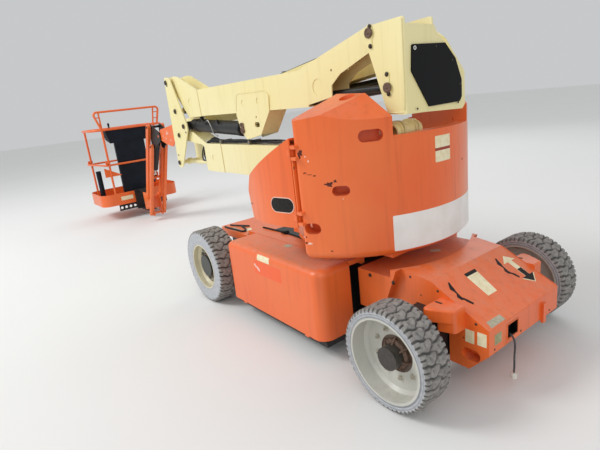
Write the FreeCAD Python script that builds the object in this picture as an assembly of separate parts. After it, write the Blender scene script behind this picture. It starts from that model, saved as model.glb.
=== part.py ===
import FreeCAD, Part
import math
import os

# Articulating boom lift, stowed. Millimetres, +X towards the steered axle, +Y left, +Z up.
# Places along X are stations from the driven axle; the last step moves the origin to mid length on the ground.
# Sizes and places start here
seat = 0.3

# Wheels and stance
wheelbase = 2000.0
overall_width = 1500.0
front_tyre_radius = 275.0
front_tyre_width = 180.0
front_rim_radius = 228.0
front_disc_inset = 105.0
rear_tyre_radius = 306.0
rear_tyre_width = 200.0
rear_rim_radius = 190.0
rear_disc_inset = 60.0
tyre_shoulder = 18.0
rim_wall = 12.0
hub_hole_radius = 98.0
front_hub_radius = 62.0
drive_hub_radius = 150.0
kingpin_inset = 230.0
kingpin_radius = 28.0
steer_arm_length = 104.0
axle_fork_depth = 82.0

# Chassis, places along it from the steered axle
deck_height = 545.0
belly_height = 185.0
chassis_half_width = 350.0
chassis_rear = -200.0
nose_crease_ahead = -10.0
nose_crease_height = 568.0
nose_tip_ahead = 330.0
nose_tip_height = 390.0
nose_face_height = 135.0
nose_chin_ahead = 220.0
nose_chin_height = 142.0
cowl_height = 592.0
cowl_half_width = 400.0
cowl_rear_back = 500.0
cowl_front_back = 200.0
cowl_arc_gap = 22.0
front_belly_height = 300.0
rear_deck_inset = 305.0
rear_deck_front = 330.0
deck_strip_inner = 312.0
axle_half_depth = 95.0
axle_top = 420.0
axle_bottom = 170.0
tie_slot_length = 105.0
tie_slot_radius = 32.0
inlet_half_width = 50.0
inlet_height = 75.0
inlet_place_y = -132.0
inlet_place_z = 322.0
inlet_recess = 34.0
tab_place_y = 180.0
tab_half_width = 15.0
tab_bottom = 235.0
tab_top = 349.0
tab_reach = 14.0
bump_bottom = 365.0
bump_top = 490.0
bump_rear_ahead = 45.0
bump_front_ahead = 200.0
bump_rear_width = 155.0
bump_front_width = 80.0

# Battery boxes
battery_rear = 385.0
battery_front_back = 522.0
battery_inset = 50.0
battery_top = 592.0
battery_bottom = 140.0
cover_reach = 250.0
cover_wall = 8.0
cover_corner = 45.0
cover_front_corner = 80.0
tray_thickness = 40.0
tray_inset = 30.0
cover_hinge_inset = 8.0
cover_hinge_drop = 9.0
cover_hinge_radius = 7.0
cover_hinge_pin = 4.0
cover_hinge_from_end = 170.0
cover_hinge_half = 30.0

# Turntable
swing_station = 1100.0
swing_radius = 750.0
ring_radius = 300.0
ring_top = 622.0
spigot_radius = 200.0
turntable_bottom = 630.0
turntable_plate = 31.7
turntable_disc_radius = 425.0
cw_bottom = 662.0
cw_front_ahead = 262.0
cw_ear_thickness = 420.0
cw_ridge_length = 228.0
cw_wall_thickness = 78.0
cw_edge_round = 45.0
cw_corner_round = 30.0
pocket_depth = 90.0
scoop_radius = 44.0
scoop_ahead = 140.0
scoop_depth = 75.0
lug_hole_radius = 16.0
hood_gap = 12.0
hood_wall = 7.0
hood_bottom = 850.0
hood_nose_back = 277.0
hood_nose_height = 1023.0
hood_shoulder_back = 186.0
hood_shoulder_height = 1138.0
hood_top_height = 1365.0
hood_inner = 310.0
hood_skin_gap = 5.0
hood_hinge_proud = 9.4
hood_hinge_radius = 6.0
hood_hinge_pin = 3.0
hood_hinge_heights = (910.0, 1285.0)
unit_length = 410.0
unit_width = 310.0
unit_outer = 640.0
unit_bottom = 858.0
unit_top = 1080.0

# Tower booms: two equal arms, one over the other, on upright and link pins
stack_y = -150.0
boom_width = 150.0
boom_wall = 8.0
arm_length = 2868.0
link_station = -1172.0
lower_pin_height = 1333.0
link_lean = 108.0
link_rise = 529.0
rod_offset_x = 112.0
rod_offset_z = 289.0
lower_box_top_drop = 90.0
lower_box_depth = 256.0
mid_box_top_drop = 117.0
mid_box_depth = 240.0
link_plate = 12.0
link_gap = 25.0
pin_radius = 22.0
pin_gap = 0.3
rod_radius = 20.0
eye_radius = 42.0
side_gap = 6.0
cyl_pin_ahead = 146.0
cyl_pin_rise = 86.0
bracket_pin_ahead = 1354.0
bracket_pin_drop = 498.0
tower_barrel_radius = 62.0
tower_rod_radius = 34.0
pivot_tube_radius = 47.0

# Upright and main boom
upright_rear_ahead = 232.0
upright_plate = 12.0
upright_gap = 28.0
upright_top_rise = 43.0
upright_bottom_drop = 435.0
upright_bend = 10.0
main_y = 110.0
main_pin_ahead = 12.0
main_pin_drop = 47.0
main_slope = 7.2
main_boom_width = 150.0
main_boom_depth = 225.0
main_boom_length = 3000.0
far_plate_gap = 123.0
pad_length = 90.0
pad_gap = 0.4
fly_width = 110.0
fly_depth = 150.0
fly_start = 1300.0
fly_reach = 4248.0
main_pin_radius = 25.0
main_cyl_ahead = 55.0
main_cyl_drop = 207.0
main_lug_reach = 900.0
main_lug_drop = 150.0
main_barrel_radius = 52.0
main_rod_radius = 28.0
main_stub_gap = 59.0
main_slot_end = 800.0
main_ram_slot = 32.0

# Jib, its upper pin placed from the fly boom's pin
jib_pin_back = 235.0
jib_pin_rise = 122.0
jib_slope = 61.0
jib_length = 1170.0
jib_rod_dx = -5.0
jib_rod_dz = -262.0
jib_width = 236.0
jib_arm_width = 40.0
jib_arm_depth = 74.0
jib_rod_width = 36.0
jib_rod_depth = 62.0
jib_pin_radius = 16.0
jib_cyl_dx = -26.0
jib_cyl_dz = -208.0
jib_cyl_reach = 770.0
jib_barrel_radius = 40.0
jib_ram_radius = 22.0

# Platform
rotator_back = 300.0
rotator_radius = 72.0
rotator_pin = 26.0
rotator_drop = 232.0
rotator_length = 270.0
platform_gap = 310.0
platform_depth = 760.0
platform_width = 1240.0
platform_shift = 10.0
platform_bottom = 242.0
toe_height = 185.0
pan_wall = 4.0
pan_corner = 150.0
tread_rise = 3.0
tread_inset = 110.0
tread_side_inset = 160.0
rail_height = 1418.0
mid_rail_height = 880.0
hoop_height = 1685.0
rail_radius = 17.0
rail_inset_end = 70.0
rail_corner = 150.0
hoop_from_end = 145.0
keel_hole_radius = 21.0
keel_hole_spacing = 70.0
keel_depth = 95.0
console_width = 640.0
console_from_end = 272.0
console_taper = 56.0
console_depth = 190.0
console_bottom = 1200.0
console_top = 1410.0
console_wall = 5.0
apron_inset = 98.0
document_radius = 38.0
document_height = 545.0

# Charger lead
lead_radius = 5.0

# Places that follow from the sizes
kingpin_half_track = overall_width / 2 - kingpin_inset
nose_crease_station = wheelbase + nose_crease_ahead
nose_tip_station = wheelbase + nose_tip_ahead
nose_chin_station = wheelbase + nose_chin_ahead
cowl_rear = wheelbase - cowl_rear_back
cowl_front = wheelbase - cowl_front_back
rear_deck_half_width = overall_width / 2 - rear_deck_inset
battery_front = wheelbase - battery_front_back
battery_outer = overall_width / 2 - battery_inset
battery_inner = battery_outer - cover_reach
cw_front = swing_station + cw_front_ahead
cw_ear_inner = swing_radius - cw_ear_thickness
cw_wall_top = lower_pin_height - 3.0
cw_ear_outer_top = lower_pin_height + 122.0
cw_ear_crest_top = lower_pin_height + 239.0
hood_nose_station = swing_station - hood_nose_back
hood_shoulder_station = swing_station - hood_shoulder_back
hood_hinge_y = ((swing_radius - hood_skin_gap) ** 2 - (cw_front_ahead - hood_gap / 2) ** 2) ** 0.5 + hood_hinge_proud
link_top_station = link_station - link_lean
link_top_height = lower_pin_height + link_rise
lower_box_top = lower_pin_height - lower_box_top_drop
lower_box_bottom = lower_box_top - lower_box_depth
mid_box_top = link_top_height - mid_box_top_drop
mid_box_bottom = mid_box_top - mid_box_depth
cyl_pin_station = link_station + cyl_pin_ahead
cyl_pin_height = lower_pin_height + cyl_pin_rise
bracket_pin_station = link_top_station + bracket_pin_ahead
bracket_pin_height = link_top_height - bracket_pin_drop
turret_station = link_station + arm_length
upright_station = link_top_station + arm_length
upright_rear = upright_station + upright_rear_ahead
upright_top = link_top_height + upright_top_rise
upright_bottom = link_top_height - upright_bottom_drop
main_station = upright_station + main_pin_ahead
main_height = link_top_height - main_pin_drop
main_cyl_station = main_station + main_cyl_ahead
main_cyl_height = main_height - main_cyl_drop
slope_sin = math.sin(math.radians(main_slope))
slope_cos = math.cos(math.radians(main_slope))
jib_sin = math.sin(math.radians(jib_slope))
jib_cos = math.cos(math.radians(jib_slope))
fly_pin_station = main_station - fly_reach * slope_cos
fly_pin_height = main_height - fly_reach * slope_sin
jib_pin_station = fly_pin_station - jib_pin_back
jib_pin_height = fly_pin_height + jib_pin_rise
foot_station = jib_pin_station - jib_length * jib_cos
foot_height = jib_pin_height - jib_length * jib_sin
rotator_station = foot_station - rotator_back
rotator_bottom = foot_height - rotator_drop
rotator_top = rotator_bottom + rotator_length
platform_near = rotator_station - platform_gap
platform_far = platform_near - platform_depth
platform_y0 = main_y + platform_shift - platform_width / 2
platform_y1 = platform_y0 + platform_width
rail_x0 = platform_far + rail_radius + pan_wall + 2
rail_x1 = platform_near - rail_radius - pan_wall - 2
rail_y0 = platform_y0 + rail_inset_end
rail_y1 = platform_y1 - rail_inset_end
console_front = rail_x1 - rail_radius - 6
console_back = console_front - console_depth
# Sizes and places end here

rear_axle_height = rear_tyre_radius
front_axle_height = front_tyre_radius
front_wheel_y = overall_width / 2 - front_tyre_width / 2
rear_wheel_y = overall_width / 2 - rear_tyre_width / 2
x_shift = -(nose_tip_station + platform_far) / 2
stack_near = stack_y - boom_width / 2
stack_far = stack_y + boom_width / 2
nodes = {}


def vec(x, y, z):
    return FreeCAD.Vector(x, y, z)


def box(x0, x1, y0, y1, z0, z1):
    return Part.makeBox(x1 - x0, y1 - y0, z1 - z0, vec(x0, y0, z0))


def cyl_x(y, z, radius, x0, x1):
    return Part.makeCylinder(radius, x1 - x0, vec(x0, y, z), vec(1, 0, 0))


def cyl_y(x, z, radius, y0, y1):
    return Part.makeCylinder(radius, y1 - y0, vec(x, y0, z), vec(0, 1, 0))


def cyl_z(x, y, radius, z0, z1):
    return Part.makeCylinder(radius, z1 - z0, vec(x, y, z0), vec(0, 0, 1))


def fuse(shapes):
    joined = shapes[0]
    if len(shapes) > 1:
        joined = shapes[0].multiFuse(shapes[1:])
    return joined.removeSplitter()


def outline(corners, place):
    # Closed wire from (u, v, radius) corners; each corner is an arc where its radius is over zero
    edges = []
    ends = []
    count = len(corners)
    for index in range(count):
        u, v, radius = corners[index]
        before = corners[index - 1]
        after = corners[(index + 1) % count]
        back = FreeCAD.Vector(before[0] - u, before[1] - v, 0)
        ahead = FreeCAD.Vector(after[0] - u, after[1] - v, 0)
        back.normalize()
        ahead.normalize()
        if radius <= 0:
            ends.append(((u, v), None, (u, v)))
            continue
        half = back.getAngle(ahead) / 2
        reach = radius / math.tan(half)
        middle = back.add(ahead)
        middle.normalize()
        centre = middle.multiply(radius / math.sin(half))
        inward = FreeCAD.Vector(centre.x, centre.y, 0)
        inward.normalize()
        tip = (u + centre.x - inward.x * radius, v + centre.y - inward.y * radius)
        start = (u + back.x * reach, v + back.y * reach)
        stop = (u + ahead.x * reach, v + ahead.y * reach)
        ends.append((start, tip, stop))
    for index in range(count):
        start, tip, stop = ends[index]
        if tip is not None:
            edges.append(Part.Arc(place(*start), place(*tip), place(*stop)).toShape())
        following = ends[(index + 1) % count][0]
        if place(*stop).distanceToPoint(place(*following)) > 0.001:
            edges.append(Part.LineSegment(place(*stop), place(*following)).toShape())
    return Part.Wire(edges)


def slab_xz(corners, y0, y1):
    wire = outline(corners, lambda u, v: vec(u, y0, v))
    return Part.Face(wire).extrude(vec(0, y1 - y0, 0))


def slab_xy(corners, z0, z1):
    wire = outline(corners, lambda u, v: vec(u, v, z0))
    return Part.Face(wire).extrude(vec(0, 0, z1 - z0))


def slab_yz(corners, x0, x1):
    wire = outline(corners, lambda u, v: vec(x0, u, v))
    return Part.Face(wire).extrude(vec(x1 - x0, 0, 0))


def along(x, z, run, drop, slope_c, slope_s):
    # Point run along a boom that falls towards -X, and drop square below it
    return (x - run * slope_c + drop * slope_s, z - run * slope_s - drop * slope_c)


def bar_xz(p, q, depth, y0, y1):
    # Straight bar with square ends between two points in the XZ plane
    dx = q[0] - p[0]
    dz = q[1] - p[1]
    length = math.hypot(dx, dz)
    nx = -dz / length * depth / 2
    nz = dx / length * depth / 2
    corners = [(p[0] + nx, p[1] + nz, 0), (q[0] + nx, q[1] + nz, 0),
               (q[0] - nx, q[1] - nz, 0), (p[0] - nx, p[1] - nz, 0)]
    return slab_xz(corners, y0, y1)


def rod_xz(p, q, radius, y):
    dx = q[0] - p[0]
    dz = q[1] - p[1]
    return Part.makeCylinder(radius, math.hypot(dx, dz), vec(p[0], y, p[1]), vec(dx, 0, dz))


def tube_path(points, radius, bend):
    # Round bar along straight runs joined by tangent arcs of one bend radius
    edges = []
    last = points[0]
    for index in range(1, len(points) - 1):
        corner = points[index]
        back = last.sub(corner)
        ahead = points[index + 1].sub(corner)
        back.normalize()
        ahead.normalize()
        half = back.getAngle(ahead) / 2
        reach = bend / math.tan(half)
        start = corner.add(FreeCAD.Vector(back).multiply(reach))
        stop = corner.add(FreeCAD.Vector(ahead).multiply(reach))
        middle = back.add(ahead)
        middle.normalize()
        tip = corner.add(middle.multiply(bend / math.sin(half) - bend))
        edges.append(Part.LineSegment(last, start).toShape())
        edges.append(Part.Arc(start, tip, stop).toShape())
        last = stop
    edges.append(Part.LineSegment(last, points[-1]).toShape())
    path = Part.Wire(edges)
    section = Part.Wire(Part.makeCircle(radius, points[0], points[1].sub(points[0])))
    return path.makePipeShell([section], True, False)


def mirror_y(shape):
    return shape.mirror(vec(0, 0, 0), vec(0, 1, 0))


def turned(profile, side, x, z, y_outer):
    # Revolve (inset from the outer face, radius) points about a wheel's axis; side is -1 right, +1 left
    points = [vec(x, side * (y_outer - inset), z + radius) for inset, radius in profile]
    wire = Part.makePolygon(points + [points[0]])
    return Part.Face(wire).revolve(vec(x, 0, z), vec(0, 1, 0), 360)


# Wheels
def tyre(side, x, radius, width, bead):
    y_outer = overall_width / 2
    inset_step = tyre_shoulder * 0.5
    profile = [(0, bead + 0.0), (0, radius - tyre_shoulder), (inset_step, radius - 4),
               (tyre_shoulder, radius), (width - tyre_shoulder, radius),
               (width - inset_step, radius - 4), (width, radius - tyre_shoulder), (width, bead)]
    return turned(profile, side, x, radius, y_outer)


def rim(side, x, tyre_radius, width, bead, disc_inset, hub_radius, hub_inset):
    y_outer = overall_width / 2
    inner = bead - rim_wall
    profile = [(2, bead), (width - 2, bead), (width - 2, inner), (disc_inset + rim_wall, inner),
               (disc_inset + rim_wall, hub_hole_radius), (disc_inset, hub_hole_radius),
               (disc_inset, inner - 18), (disc_inset - 18, inner), (2, inner)]
    shell = turned(profile, side, x, tyre_radius, y_outer)
    hub = [(hub_inset, 0), (hub_inset, hub_radius), (disc_inset + 4, hub_radius),
           (disc_inset + 4, hub_hole_radius + 6), (disc_inset + rim_wall + 10, hub_hole_radius + 6),
           (disc_inset + rim_wall + 10, 0)]
    return shell, turned(hub, side, x, tyre_radius, y_outer)


def wheels():
    for side, name in ((-1, "right"), (1, "left")):
        nodes["front_tyre_" + name] = tyre(side, wheelbase, front_tyre_radius, front_tyre_width,
                                           front_rim_radius)
        shell, hub = rim(side, wheelbase, front_tyre_radius, front_tyre_width, front_rim_radius,
                         front_disc_inset, front_hub_radius, 30)
        nodes["front_rim_" + name] = fuse([shell, hub])
        nodes["rear_tyre_" + name] = tyre(side, 0, rear_tyre_radius, rear_tyre_width, rear_rim_radius)
        shell, hub = rim(side, 0, rear_tyre_radius, rear_tyre_width, rear_rim_radius,
                         rear_disc_inset, drive_hub_radius * 0.6, 25)
        nodes["rear_rim_" + name] = fuse([shell, hub])


def knuckle(side, name):
    # Kingpin post with a spindle that carries the wheel's hub
    y_pin = side * kingpin_half_track
    post = cyl_z(wheelbase, y_pin, kingpin_radius + 14, axle_bottom + 31, axle_top - 31)
    y_hub = side * (overall_width / 2 - front_disc_inset - rim_wall - 10 - 0.5)
    low, high = sorted((y_pin, y_hub))
    spindle = cyl_y(wheelbase, front_axle_height, 34, low, high)
    low, high = sorted((y_pin + side * 42, y_hub))
    arm_y0, arm_y1 = sorted((y_pin - side * 10, y_pin + side * 10))
    steer_arm = box(wheelbase - steer_arm_length, wheelbase, arm_y0, arm_y1, front_axle_height - 12, front_axle_height + 12)
    bore = cyl_z(wheelbase, y_pin, kingpin_radius + pin_gap, axle_bottom, axle_top)
    nodes["steer_knuckle_" + name] = fuse([post, spindle, steer_arm]).cut(bore)


# Chassis
def nose_profile():
    axle_rear = wheelbase - axle_half_depth - 10
    axle_front = wheelbase + axle_half_depth + 10
    return [(cowl_rear + seat, front_belly_height + seat, 0), (cowl_rear + seat, cowl_height, 0),
            (cowl_front, cowl_height, 0), (nose_crease_station, nose_crease_height, 0),
            (nose_tip_station, nose_tip_height, 6), (nose_tip_station, nose_tip_height - nose_face_height, 0),
            (nose_chin_station, nose_chin_height, 0), (axle_front, nose_chin_height, 0),
            (axle_front, axle_top + seat, 0), (axle_rear, axle_top + seat, 0),
            (axle_rear, front_belly_height + seat, 0)]


def bump_box(side):
    # Rounded box over the end of the steered axle, its outer face slanted to clear the steered tyre
    rear = wheelbase + bump_rear_ahead
    front = wheelbase + bump_front_ahead
    low = wheelbase + axle_half_depth + 11
    root = chassis_half_width - 2
    upper = slab_xy([(rear, root, 0), (front, root, 0), (front, chassis_half_width + bump_front_width, 25),
                     (rear + 60, chassis_half_width + bump_rear_width - 22, 40),
                     (rear, chassis_half_width + bump_rear_width, 25)], axle_top + 1, bump_top)
    top = [e for e in upper.Edges if e.BoundBox.ZMin > bump_top - 1 and e.BoundBox.YMin > chassis_half_width + 10]
    upper = upper.makeFillet(12, top)
    reach = bump_rear_width - (bump_rear_width - bump_front_width) * 0.6
    lower = slab_xy([(low, root, 0), (front, root, 0), (front, chassis_half_width + bump_front_width, 25),
                     (low, chassis_half_width + reach, 10)], bump_bottom, axle_top + 1)
    box_shape = fuse([upper, lower])
    if side < 0:
        box_shape = mirror_y(box_shape)
    return box_shape


def tie_slot(side):
    y0, y1 = sorted((side * (chassis_half_width - 60), side * (chassis_half_width + 5)))
    x = nose_chin_station + 10
    z = nose_chin_height + 85
    half = tie_slot_length / 2
    corners = [(x - half, z - tie_slot_radius), (x - half, z + tie_slot_radius),
               (x + half, z + tie_slot_radius), (x + half, z - tie_slot_radius)]
    return slab_xz([(u, v, tie_slot_radius * 0.98) for u, v in corners], y0, y1)


def chassis():
    frame = slab_xz([(chassis_rear + 20, belly_height, 20), (chassis_rear + 20, deck_height - 60, 20),
                     (rear_deck_front, deck_height - 60, 0), (rear_deck_front, deck_height, 0),
                     (cowl_rear, deck_height, 0), (cowl_rear, front_belly_height, 0),
                     (cowl_front, front_belly_height, 0), (cowl_front, belly_height, 0)],
                    -chassis_half_width, chassis_half_width)
    deck = [slab_xy([(chassis_rear, -rear_deck_half_width, 40), (rear_deck_front, -rear_deck_half_width, 0),
                     (rear_deck_front, rear_deck_half_width, 0), (chassis_rear, rear_deck_half_width, 40)],
                    deck_height - 60 + seat, deck_height)]
    for side in (-1, 1):
        y0, y1 = sorted((side * deck_strip_inner, side * rear_deck_half_width))
        deck.append(box(rear_deck_front - 30, rear_deck_front, y0, y1, deck_height - 5, battery_top))
        deck.append(box(rear_deck_front - 1, battery_front - 8, y0, y1, battery_top - 30, battery_top))
        foot0, foot1 = sorted((side * deck_strip_inner, side * (chassis_half_width - 4)))
        deck.append(box(rear_deck_front - 1, battery_front - 8, foot0, foot1, deck_height + seat, battery_top - 29))
    nodes["rear_deck"] = fuse(deck)
    front = slab_xz(nose_profile(), -chassis_half_width, chassis_half_width)
    wings = slab_xz([(cowl_rear + seat, front_belly_height + seat, 0), (cowl_rear + seat, cowl_height, 0),
                     (cowl_front, cowl_height, 0), (cowl_front - 60, 440, 0),
                     (cowl_front - 120, front_belly_height + seat, 0)], -cowl_half_width, cowl_half_width)
    axle = box(wheelbase - axle_half_depth, wheelbase + axle_half_depth,
               -kingpin_half_track - 45, kingpin_half_track + 45, axle_bottom, axle_top)
    for side in (-1, 1):
        y0, y1 = sorted((side * (kingpin_half_track - axle_fork_depth), side * (kingpin_half_track + 50)))
        axle = axle.cut(box(wheelbase - 200, wheelbase + 200, y0, y1, axle_bottom + 25, axle_top - 25))
        axle = axle.fuse(cyl_z(wheelbase, side * kingpin_half_track, kingpin_radius, axle_bottom, axle_top))
    tread = overall_width / 2 - rear_tyre_width - 20
    drive = box(-90, 90, -tread, tread, rear_axle_height - 90, rear_axle_height + 90)
    hub_y = overall_width / 2 - rear_disc_inset - rim_wall - 10.5
    spindles = cyl_y(0, rear_axle_height, 60, -hub_y, hub_y)
    ring = cyl_z(swing_station, 0, ring_radius, deck_height - 1, ring_top)
    ring = ring.cut(cyl_z(swing_station, 0, spigot_radius + pin_gap, deck_height + 15, ring_top + 5))
    axle_link = box(cowl_front - 10, wheelbase, -150, 150, belly_height, front_belly_height)
    nodes["chassis_frame"] = fuse([frame, axle, axle_link, drive, spindles, ring])
    tab = box(nose_tip_station - 2, nose_tip_station + tab_reach, tab_place_y - tab_half_width,
              tab_place_y + tab_half_width, tab_bottom, tab_top)
    body = fuse([front, wings, bump_box(-1), bump_box(1), tab])
    recess = swing_disc(swing_radius + cowl_arc_gap, deck_height, cowl_height + 20)
    body = body.cut(recess).cut(tie_slot(-1)).cut(tie_slot(1))
    cut_y0 = inlet_place_y - inlet_half_width
    cut_y1 = inlet_place_y + inlet_half_width
    cut_z0 = inlet_place_z - inlet_height / 2
    cut_z1 = inlet_place_z + inlet_height / 2
    depth = inlet_recess + 40
    body = body.cut(box(nose_tip_station - depth, nose_tip_station + 5, cut_y0, cut_y1, cut_z0, cut_z1))
    nodes["chassis_cowl"] = body.removeSplitter()
    nodes["charger_inlet"] = box(nose_tip_station - depth + seat, nose_tip_station - inlet_recess,
                                 cut_y0 + seat, cut_y1 - seat, cut_z0 + seat, cut_z1 - seat)


def battery_side(side, name):
    y_out = battery_outer
    outer = box(battery_rear, battery_front, battery_inner, y_out, battery_bottom, battery_top)
    outer = rounded_cover(outer, y_out, battery_top, cover_front_corner, cover_corner)
    inner = box(battery_rear + cover_wall, battery_front - cover_wall, battery_inner - 5, y_out - cover_wall,
                battery_bottom - 5, battery_top - cover_wall)
    inner = rounded_cover(inner, y_out - cover_wall, battery_top - cover_wall, cover_front_corner - cover_wall,
                          cover_corner - cover_wall)
    cover = outer.cut(inner)
    pack = box(battery_rear + 60, battery_front - 60, chassis_half_width + seat, y_out - 50,
               battery_bottom + 8, battery_top - 40)
    lugs, knuckles = cover_hinges()
    cover = fuse([cover] + knuckles)
    tray = fuse(lugs + [box(battery_rear + 10, battery_front - 10, chassis_half_width - 20, y_out - tray_inset,
                     battery_bottom - tray_thickness, battery_bottom - 6),
                 box(battery_rear + 60, battery_front - 60, chassis_half_width - 20, chassis_half_width,
                     battery_bottom - tray_thickness, belly_height + 20),
                 box(battery_rear + 60, battery_front - 60, chassis_half_width - 20, y_out - 50,
                     battery_bottom - 8, battery_bottom + 8 - seat)])
    if side < 0:
        cover = mirror_y(cover)
        pack = mirror_y(pack)
        tray = mirror_y(tray)
    nodes["battery_cover_" + name] = cover
    return [pack, tray]


def rounded_cover(block, y_out, top, front_corner, corner):
    # Rounds the outer vertical edges, the front one more, and the outer top edge
    tall = [e for e in block.Edges if e.BoundBox.ZLength > 100 and e.BoundBox.YMin > y_out - 1]
    front = [e for e in tall if e.BoundBox.XMin > battery_front - 50]
    block = block.makeFillet(front_corner, front)
    rear = [e for e in block.Edges if e.BoundBox.ZLength > 100 and e.BoundBox.YMin > y_out - 1
            and e.BoundBox.XMax < battery_rear + 50]
    crest = [e for e in block.Edges if e.BoundBox.XLength > 200 and e.BoundBox.ZMin > top - 1
             and e.BoundBox.YMin > y_out - 1]
    block = block.makeFillet(corner, rear)
    crest = [e for e in block.Edges if e.BoundBox.XLength > 200 and e.BoundBox.ZMin > top - 1
             and e.BoundBox.YMin > y_out - 1]
    return block.makeFillet(corner, crest)


def cover_hinges():
    # Pin lugs on the tray (first list) and knuckles on the cover (second list), left side
    y = battery_outer - cover_hinge_inset
    z = battery_bottom - cover_hinge_drop
    lugs = []
    knuckles = []
    for x in (battery_rear + cover_hinge_from_end, battery_front - cover_hinge_from_end):
        lugs.append(cyl_x(y, z, cover_hinge_pin, x - cover_hinge_half, x + cover_hinge_half))
        for x0 in (x - cover_hinge_half, x + cover_hinge_half - 10):
            lugs.append(cyl_x(y, z, cover_hinge_radius, x0, x0 + 10))
            lugs.append(box(x0, x0 + 10, y - cover_hinge_inset - tray_inset, y, z - 5, z + 3))
        reach = cover_hinge_half - 12
        tube = cyl_x(y, z, cover_hinge_radius, x - reach, x + reach)
        tube = tube.fuse(box(x - reach, x + reach, y, battery_outer, z, battery_bottom + 2))
        knuckles.append(tube.cut(cyl_x(y, z, cover_hinge_pin + pin_gap, x - reach - 1, x + reach + 1)))
    return lugs, knuckles


# Turntable
def swing_disc(radius, z0, z1):
    return cyl_z(swing_station, 0, radius, z0, z1)


def turntable():
    plate = swing_disc(turntable_disc_radius, turntable_bottom, turntable_bottom + turntable_plate)
    plate = plate.fuse(box(swing_station - 340, turret_station + 20, -cw_ear_inner + 8, cw_ear_inner - 8,
                           turntable_bottom, turntable_bottom + turntable_plate))
    plate = plate.common(swing_disc(swing_radius - 30, turntable_bottom, turntable_bottom + turntable_plate))
    floor = turntable_bottom + turntable_plate
    lug_y = boom_width / 2 - 20
    rod_x = turret_station - rod_offset_x
    rod_z = lower_pin_height - rod_offset_z
    parts = [plate, cyl_z(swing_station, 0, spigot_radius, deck_height + 20, turntable_bottom + 5)]
    for y0 in (stack_y - lug_y, stack_y + lug_y - 15):
        parts.append(slab_xz([(turret_station - 260, floor - 1, 0), (rod_x - 55, rod_z, 20),
                              (rod_x - 40, rod_z + 60, 20), (turret_station - 66, lower_pin_height + 10, 20),
                              (turret_station - 55, lower_pin_height + 61, 48),
                              (turret_station + 55, lower_pin_height + 61, 48),
                              (turret_station + 55, lower_pin_height - 34, 30),
                              (turret_station + 34, lower_pin_height - 64, 5),
                              (turret_station + 20, floor - 1, 0)], y0, y0 + 15))
    parts.append(cyl_y(rod_x, rod_z, pin_radius, stack_y - lug_y, stack_y + lug_y))
    frame = fuse(parts)
    frame = frame.cut(cyl_y(turret_station, lower_pin_height, pivot_tube_radius + pin_gap,
                            stack_y - lug_y - 10, stack_y + lug_y + 10))
    nodes["turntable_frame"] = frame
    unit_x1 = cw_front - seat
    unit_x0 = unit_x1 - unit_length
    unit_inner = unit_outer - unit_width
    nodes["power_unit"] = fuse([box(unit_x0, unit_x1, -unit_outer, -unit_inner, unit_bottom, unit_top),
                                box(unit_x0 + 60, unit_x1 - 60, -unit_outer + 80, -unit_inner - 30,
                                    unit_top, unit_top + 50)])


def radial_slot(side, angle, z, length, height, depth):
    # Oval pocket cut straight inwards through the round outer face
    reach = swing_radius + 20
    half = (length - height) / 2
    parts = [box(reach - depth - 20, reach, -half, half, z - height / 2, z + height / 2)]
    for y in (-half, half):
        parts.append(cyl_x(y, z, height / 2, reach - depth - 20, reach))
    slot = fuse(parts)
    slot.rotate(vec(0, 0, 0), vec(0, 0, 1), side * angle)
    slot.translate(vec(swing_station, 0, 0))
    return slot


def ear_facet(side, ridge_x, ridge_z, fall_x, fall_y):
    # All that lies above a sloped plane through the ridge on the ear's inner face; it falls rearwards and outwards
    corners = []
    for x, y in ((cw_front - 60, cw_ear_inner - 5), (cw_front + 600, cw_ear_inner - 5), (cw_front + 600, 820),
                 (cw_front - 60, 820)):
        corners.append(vec(x, side * y, ridge_z - fall_x * (x - ridge_x) - fall_y * (y - cw_ear_inner)))
    return Part.Face(Part.makePolygon(corners + [corners[0]])).extrude(vec(0, 0, 600))


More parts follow.
